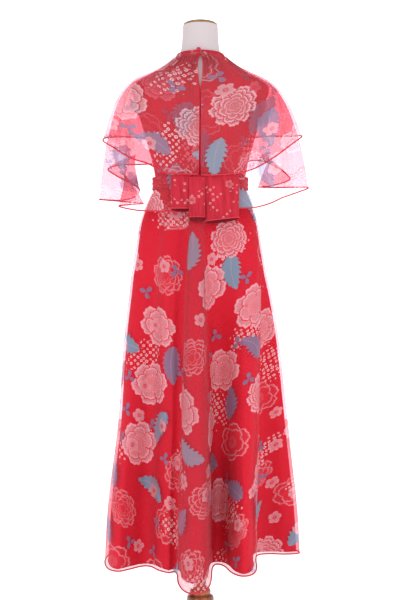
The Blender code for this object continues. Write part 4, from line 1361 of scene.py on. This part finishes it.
def cape_creased(grid, turns):
    """Gathers below the neck, and creases lower down, the same in both tiers so that they nest.

    Also returns how steep their sides are, where more of the sheer cloth lies behind each point.
    """
    shares = np.linspace(0, 1, len(grid))
    push = gathers(turns, shares, *CAPE_GATHERS) + creased(turns, shares, CAPE_CREASES)
    push = push * np.minimum(shares / 0.04, 1.0)[:, None]
    return grid + outward(grid) * push[..., None], steepness(grid, push)


def capelet():
    rows_up = hem_rows(UPPER_HEM_LEFT, CENTRE_FRONT_UPPER, UPPER_HEM_RIGHT)
    rows_low = hem_rows(LOWER_HEM_LEFT, CENTRE_FRONT_LOWER, LOWER_HEM_RIGHT)
    columns = cape_columns(rows_up, UPPER_PER_ROW)
    turns = columns[:, 0]
    grid = upper_tier(turns, columns[:, 1:], UPPER_LIE_ROWS, np.linspace(0, 1, UPPER_HANG_ROWS + 1))
    grid = open_slit(grid, UPPER_SLIT_X, UPPER_SLIT_HALF)
    tiers = [("upper_tier", "cape_upper", grid, turns, UPPER_SWEEP, UPPER_PRINT)]
    columns = cape_columns(rows_low, LOWER_PER_ROW)
    grid = open_slit(lower_tier(columns, rows_up), LOWER_SLIT_X, LOWER_SLIT_HALF)
    tiers.append(("lower_tier", "cape_lower", grid, columns[:, 0], LOWER_SWEEP, LOWER_PRINT))
    for name, node, grid, turns, sweep, offset in tiers:
        grid, steep = cape_creased(grid - outward(grid) * MID_WALL, turns)
        piece = shell(name, grid, CAPE, circle_cut(grid, turns, CAPE_CUT_RADIUS, sweep, offset))
        mark_doubled_and_shade(piece, np.clip(steep * STEEP_SHARE, 0, MOST_DOUBLED))
        hems = rolled_edges(name, mid_cloth(grid), 0)
        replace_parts(piece, node)


# ---- neck edge ----
NECK_RADIUS = 0.07
BINDING_HEIGHT = 0.0075
BINDING_DEPTH = 0.0066
BINDING_LEVEL = 0.0009
BINDING_GAP = 1.6  # degrees from the centre back to each end
BUTTON_RADIUS = 0.0042
BUTTON_HALF_DEPTH = 0.0028
BUTTON_LATITUDES = (-80, -66, -48, -30, -12, 8, 26, 44, 62, 78)
ROULEAU_REACH = 0.0053
ROULEAU_RADIUS = 0.0009


def neck_binding():
    turns = np.linspace(BINDING_GAP, 360 - BINDING_GAP, 241)
    heights = neck_height(turns) + SEAM
    ripple = 0.00025 * np.sin(np.radians(turns) * 61) + 0.0002 * np.sin(np.radians(turns) * 37 + 1)
    section = []
    for angle in full_turn(14):
        out = 0.5 + 0.48 * squared_off(np.cos(angle), 0.7)
        up = 0.5 + 0.48 * squared_off(np.sin(angle), 0.7)
        level = BINDING_LEVEL + BINDING_DEPTH * out + ripple
        section.append(on_figure(turns, heights + BINDING_HEIGHT * up, level))
    rings = np.array(section).transpose(1, 0, 2)
    flat = xyz(np.radians(turns)[:, None] * NECK_RADIUS, rings[..., 2], 0.0)
    binding = stacked_rings("neck_edge", rings, FOLDED, flat.reshape(-1, 3))
    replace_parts(binding, "neck_binding")


def button_and_loop():
    """Covered button at the nape, in its rouleau loop."""
    centre = on_figure(0.0, NECK_BACK_HEIGHT + 0.0065, 0.0080) + np.array([0.0045, 0.0030, 0.0])
    spin = full_turn(40)
    rings = []
    for angle in np.radians(BUTTON_LATITUDES):
        pucker = 1 + 0.02 * np.sin(8 * spin) * math.cos(angle)
        radius = BUTTON_RADIUS * math.cos(angle) * pucker
        ring = xyz(radius * np.sin(spin), BUTTON_HALF_DEPTH * math.sin(angle), radius * np.cos(spin))
        rings.append(centre + ring)
    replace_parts(stacked_rings("covered_button", rings, [HEM]), "neck_button")

    spin = full_turn(48)
    line = centre + xyz(ROULEAU_REACH * np.sin(spin), -0.0008, ROULEAU_REACH * np.cos(spin))
    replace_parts(tube("rouleau_loop", line, ROULEAU_RADIUS, sides=10, closed=True), "neck_loop")


# ---- the skirt ----
# rows of the table of folds, counted from the centre back
DEEP_FOLD = (-1.6, 2.6)
FOLD_SIDES = (
    # middle, half-width, share
    (-1.6, 0.40, 1.8),
    (2.6, 0.40, 2.0),
    (7.0, 0.45, 0.8),
    (-10.5, 0.45, 1.0),
)
PANEL_PLACE = {"front": (1.37, 0.52), "back": (0.045, 0.035)}  # of the print
SKIRT_ROWS = 90
PER_FOLD = 8  # columns for each row of the table of folds


def fold_rows():
    waist_turn, hip_turn, hip_out, hem_x, hem_y = np.array(SKIRT_FOLDS, float).T
    waist = on_figure(waist_turn, WAIST_HEIGHT, SKIRT_LEVEL)
    hip_angle = np.radians(hip_turn)
    depth = np.where(np.cos(hip_angle) > 0, HIP_BACK, HIP_FRONT)
    hip_x = (HIP_WIDTH + hip_out) * np.sin(hip_angle)
    hip_y = (depth + hip_out) * np.cos(hip_angle)
    return np.stack([waist[:, 0], waist[:, 1], hip_x, hip_y, hem_x, hem_y], axis=-1)


def skirt_rings(at, shares, hem_height, hem_dip):
    row = through_rows(fold_rows(), at, closed=True)
    waist, hip, hem = row[:, 0:2], row[:, 2:4], row[:, 4:6]
    at_back_fold = np.exp(-(((hem[:, 1] - 0.25) / 0.07) ** 2) - ((hem[:, 0] - 0.015) / 0.06) ** 4)
    dip = hem_dip * at_back_fold
    grid = np.empty((len(shares), len(at), 3))
    top = WAIST_HEIGHT - SEAM
    for r, share in enumerate(shares):
        heights = top + (hem_height - dip - top) * share
        to_hip = eased(WAIST_TO_HIP, "height", "share", heights)[:, None]
        to_hem = eased(HIP_TO_HEM, "height", "share", heights)[:, None]
        grid[r, :, :2] = waist + (hip - waist) * to_hip + (hem - hip) * to_hem
        grid[r, :, 2] = heights
    x = grid[..., 0]
    side = x / np.abs(x).max(axis=1, keepdims=True)
    left = eased(SIDE_ROOM, "height", "left", grid[..., 2])
    right = eased(SIDE_ROOM, "height", "right", grid[..., 2])
    grid[..., 0] = x + side * np.where(side > 0, left, right)
    return grid


def unwound_turns():
    """Turn of each fold at the waist, with the first fold again a whole turn on."""
    return np.array([(row[0],) for row in SKIRT_FOLDS] + [(SKIRT_FOLDS[0][0] + 360,)], float)


def fold_shares(columns):
    """How much of the chiffon lies behind each column of the skirt: most at the sides of its deep folds."""
    count = len(SKIRT_FOLDS)
    place = (columns / PER_FOLD + count / 2) % count - count / 2
    left, right = DEEP_FOLD
    share = np.where((place > left) & (place < right), 1.0, 0.0)
    for middle, half_width, height in FOLD_SIDES:
        share = np.maximum(share, height * np.exp(-(((place - middle) / half_width) ** 2)))
    return share


def trimmed(grid):
    """The panel, shorter by a seam's room at both sides."""
    grid = grid.copy()
    for edge, next_in in ((0, 1), (-1, -2)):
        grid[:, edge] += unit(grid[:, next_in] - grid[:, edge]) * SEAM
    return grid


def skirt():
    shares = np.linspace(0, 1, SKIRT_ROWS) ** 1.06
    ring = np.arange(0, len(SKIRT_FOLDS), 1 / PER_FOLD)
    turns = through_rows(unwound_turns(), ring, closed=False)[:, 0]
    overlay = skirt_rings(ring, shares, OVERLAY_HEM_HEIGHT, OVERLAY_HEM_DIP)
    base = skirt_rings(ring, shares, LINING_HEM_HEIGHT, LINING_HEM_DIP)
    room = eased(OVERLAY_ROOM, "height", "gap", base[..., 2])[..., None] + CAD_WALL
    lining = base - outward(base, closed=True) * room
    loose = np.clip((shares - 0.03) / 0.10, 0, 1)[:, None]
    # just above the hem the backdrop shows through below the lining
    above_hem = np.clip((1 - shares) / 0.030, 0, 1)[:, None]
    push = creased(turns, shares, SKIRT_CREASES) + gathers(turns, shares, *OVERLAY_GATHERS)
    small = gathers(turns + 4, shares, *LINING_GATHERS) + creased(turns + 5, shares, SKIRT_CREASES) * 0.4
    left, right = SIDE_SEAM_LEFT * PER_FOLD, SIDE_SEAM_RIGHT * PER_FOLD
    front = np.arange(left, right + 1)
    back = np.concatenate([np.arange(right, len(ring)), np.arange(0, left + 1)])
    overlay = overlay + outward(overlay, True) * ((push * loose)[..., None] - MID_WALL)
    lining = lining + outward(lining, True) * ((small * loose)[..., None] - MID_WALL)
    for layer, grid, materials, slot in (
        ("lining", lining, LINING, "lining"),
        ("overlay", overlay, PRINTED, "chiffon"),
    ):
        for side, columns, start in (("front", front, len(front) // 2), ("back", back, len(ring) - right)):
            panel = trimmed(grid[:, columns])
            name = f"{layer}_{side}"
            piece = shell(name, panel, materials, flat_cut(panel, start, PANEL_PLACE[side]))
            if layer == "overlay":
                steep = steepness(overlay, push * loose)[:, columns]
                behind = fold_shares(columns) + np.clip(steep, 0, 1)
                mark_doubled_and_shade(piece, behind * above_hem)
            hem = tube(f"{name}_hem", mid_cloth(panel)[-1], HEM_RADIUS)
            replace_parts(piece, f"skirt_{layer}_{side}")


# ---- sash and bow ----
def sideways(points):
    """Level directions from the form's axis to the points."""
    return unit(points * np.array([1.0, 1.0, 0.0]))


def sash_point(turns, heights, belly):
    over_skirt, flare = 0.0062, 0.10
    above = on_figure(turns, heights, BODICE_LEVEL + SEAM + SASH_WALL + belly)
    spread = over_skirt + flare * np.maximum(WAIST_HEIGHT - heights, 0)[:, None]
    return above + sideways(above) * spread


def sash():
    turns = np.arange(240) * 1.5
    rows = []
    angle = np.radians(turns)
    for share in np.linspace(0, 1, 21):
        heights = np.full(len(turns), WAIST_HEIGHT + SASH_RISE + SASH_HEIGHT * (0.5 - share))
        folds = 0.0007 * np.sin(share * 15 + 2.0 * np.sin(angle * 2) + 0.8 * np.sin(angle * 5 + 1))
        belly = SASH_BELLY * math.sin(math.pi * share)
        row = sash_point(turns, heights, belly - 0.0006)
        rows.append(row + sideways(row) * (folds * math.sin(math.pi * share))[:, None])
    outer = np.array(rows)
    flat = flat_cut(outer, 0, (0.4, 0.9))
    piece = shell("sash_band", outer, FOLDED, flat, closed=True, thickness=SASH_SHELL)
    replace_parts(piece, "waist_sash")


def knot_centre():
    turn = math.degrees(math.atan2(KNOT_X, FIGURE["back"][FIGURE["height"].index(WAIST_HEIGHT)]))
    seat = sash_point(np.array([turn]), np.array([KNOT_HEIGHT]), SASH_BELLY)[0, 1]
    return KNOT_X, float(seat) + SEAM + KNOT_HALF[1], KNOT_HEIGHT


def knot():
    centre = knot_centre()
    power = 0.45
    spin = full_turn(64)
    rings = []
    for latitude in np.linspace(-84, 84, 29):
        lift = math.radians(latitude)
        wide = abs(math.cos(lift)) ** power
        folds = 1 - 0.05 * (0.5 + 0.5 * np.sin(latitude / 9 + 1.5 * np.sin(spin)))
        rings.append(centre + KNOT_HALF * xyz(
            wide * squared_off(np.sin(spin), power) * folds,
            wide * squared_off(np.cos(spin), power) * folds,
            squared_off(math.sin(lift), power),
        ))
    rings = np.array(rings)
    piece = stacked_rings("sash_knot", rings, FOLDED, rings.reshape(-1, 3))
    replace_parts(piece, "bow_knot")


def loop_tube(name, node, span, drop, puffs, creases):
    """One drooping loop of the bow, with its rolled lower edges."""
    start, end = span
    middle = (start + end) / 2
    half = abs(end - start) / 2
    count = 160
    spin = full_turn(count)
    along = squared_off(np.cos(spin), 0.7)
    toward = squared_off(np.sin(spin), 0.8)
    behind = np.clip(-toward, 0, 1)
    x = middle + half * along
    across = (x - min(span)) / abs(end - start)
    rows = []
    for share in np.linspace(0, 1, 40):
        puff = puffs[0] + (puffs[1] - puffs[0]) * share
        y = LOOP_DEPTH + LOOP_SWING * share + (puff - CAD_WALL / 2) * toward
        ripple = np.zeros(count)
        for place, lean, width, out in creases:
            ripple += out * np.exp(-(((across - place - lean * (share - 0.5)) / width) ** 2))
        y = y + ripple * (0.35 + 0.65 * share)
        bottom = drop[0] + (drop[1] - drop[0]) * (x - start) / (end - start) - LOOP_BACK_HANGS * behind
        rows.append(xyz(x, y, BOW_TOP + (bottom - BOW_TOP) * share))
    outer = np.array(rows)[:, ::-1]
    piece = shell(name, outer, FOLDED, flat_cut(outer, 0, (half, puffs[1])), closed=True)
    # painted shade on the loop's back wall, which shows below its front rim
    mark_doubled_and_shade(piece, np.tile(behind[::-1], (len(outer), 1)))
    hem = tube(f"{name}_hem", outer[-1, count // 2 - 1:], HEM_RADIUS)
    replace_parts(piece, node)


def tail():
    top = knot_centre()[1] + KNOT_HALF[1] + SEAM + CAD_WALL / 2
    start, end = TAIL_SPAN
    columns = np.linspace(0, 1, 50)
    rows = []
    for share in np.linspace(0, 1, 44):
        free = max(share - TAIL_ON_KNOT, 0) / (1 - TAIL_ON_KNOT)
        x = start + (end - start) * columns
        wave = 0.0022 * np.sin(np.pi * columns) - 0.0018 * np.sin(3 * np.pi * columns)
        fine = 0.0007 * np.sin(9 * np.pi * columns + 2 * share) + 0.0005 * np.sin(14 * np.pi * columns)
        y = top + TAIL_SWING * free**0.8 + (wave + fine) * free
        rows.append(xyz(x, y, TAIL_TOP + (TAIL_BOTTOM - TAIL_TOP) * share))
    grid = np.array(rows)
    piece = shell("sash_tail", grid, FOLDED, flat_cut(grid, 0, (0.21, 0.77)))
    under = grid[len(grid) // 2:] + np.array(TAIL_UNDER)
    lower_layer = shell("sash_tail_under", under, FOLDED, flat_cut(under, 0, (0.30, 0.77)))
    # painted shade all over the tail's lower layer
    mark_doubled_and_shade(lower_layer, np.ones(under.shape[:2]))
    edges = [lower_layer, *rolled_edges("sash_tail", grid, -1, HEM_RADIUS * 0.9, EDGE_RADIUS * 0.8)]
    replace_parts(piece, "bow_tail")


def bow():
    """Knot, both loops, which come out of its sides, and the tail."""
    reach = KNOT_HALF[0] - LOOP_TUCK
    knot()
    span = (KNOT_X + reach, LOOP_LEFT_END)
    loop_tube("left_loop", "bow_loop_left", span, LOOP_LEFT_DROP, LOOP_LEFT_PUFFS, LEFT_LOOP_CREASES)
    span = (KNOT_X - reach, LOOP_RIGHT_END)
    loop_tube("right_loop", "bow_loop_right", span, LOOP_RIGHT_DROP, LOOP_RIGHT_PUFFS, RIGHT_LOOP_CREASES)
    tail()


# ---- the picture ----
CAMERA_X = 0.0008
CAMERA_DISTANCE = 3.2
EYE_HEIGHT = 0.940
METRES_PER_PIXEL = 0.00275  # at the form's axis
IMAGE_HEIGHT = 600
SENSOR = 36.0
LIGHT_LEVEL = 1.0
BACKDROP_LEVEL = 3.2
BRIGHTEST = 1.7  # level of one sample, so that thin hems stay dark against the backdrop
FLOOR_GLOW = 0.45
FLOOR_SIZE = 12.0
FLOOR_HEIGHT = -0.0005
WHITE = (1.0, 1.0, 1.0)
LAMPS = (
    # name, place, size, power
    ("key", (1.6, 3.4, 2.2), 2.2, 18.0),
    ("fill", (-2.2, 2.8, 1.2), 2.4, 13.0),
)
AIM = (0.0, 0.0, 1.0)  # that the lamps point to


def camera():
    data = bpy.data.cameras.new("camera")
    data.sensor_width = SENSOR
    data.lens = SENSOR * CAMERA_DISTANCE / (IMAGE_HEIGHT * METRES_PER_PIXEL)
    place = (CAMERA_X, CAMERA_DISTANCE, EYE_HEIGHT)
    bpy.context.scene.camera = add_object("camera", data, place, (math.radians(90), 0.0, math.radians(180)))


def light():
    world = bpy.data.worlds.new("studio")
    world.use_nodes = True
    tree = world.node_tree
    seen = Field(tree, new_node(tree, "ShaderNodeLightPath").outputs["Is Camera Ray"])
    strength = blend(seen, LIGHT_LEVEL, BACKDROP_LEVEL)
    feed_inputs(tree.nodes["Background"], {"Color": WHITE, "Strength": strength})
    bpy.context.scene.world = world

    for name, place, size, power in LAMPS:
        data = bpy.data.lights.new(name, "AREA")
        data.size = size
        data.energy = power
        x, y, z = np.subtract(AIM, place)
        rotation = (math.atan2(math.hypot(x, y), -z), 0.0, math.atan2(-x, y))
        add_object(name, data, place, rotation)


def floor():
    mesh = bpy.data.meshes.new("floor")
    half = FLOOR_SIZE / 2
    corners = [(-half, -half, 0), (half, -half, 0), (half, half, 0), (-half, half, 0)]
    mesh.from_pydata(corners, [], [(0, 1, 2, 3)])
    material, _tree, shader = new_material("floor")
    feed_inputs(shader, {
        "Base Color": (0.9, 0.9, 0.9),
        "Roughness": 0.9,
        "Emission Color": WHITE,
        "Emission Strength": FLOOR_GLOW,
    })
    mesh.materials.append(material)
    add_object("floor", mesh, (0.0, 0.0, FLOOR_HEIGHT))


def render_settings():
    scene = bpy.context.scene
    scene.view_settings.view_transform = "Standard"
    scene.cycles.transparent_max_bounces = 40
    scene.cycles.max_bounces = 5
    scene.cycles.diffuse_bounces = 3
    scene.cycles.sample_clamp_direct = BRIGHTEST


form()
bodice()
skirt()
sash()
capelet()
neck_binding()
button_and_loop()
bow()
camera()
light()
floor()
render_settings()
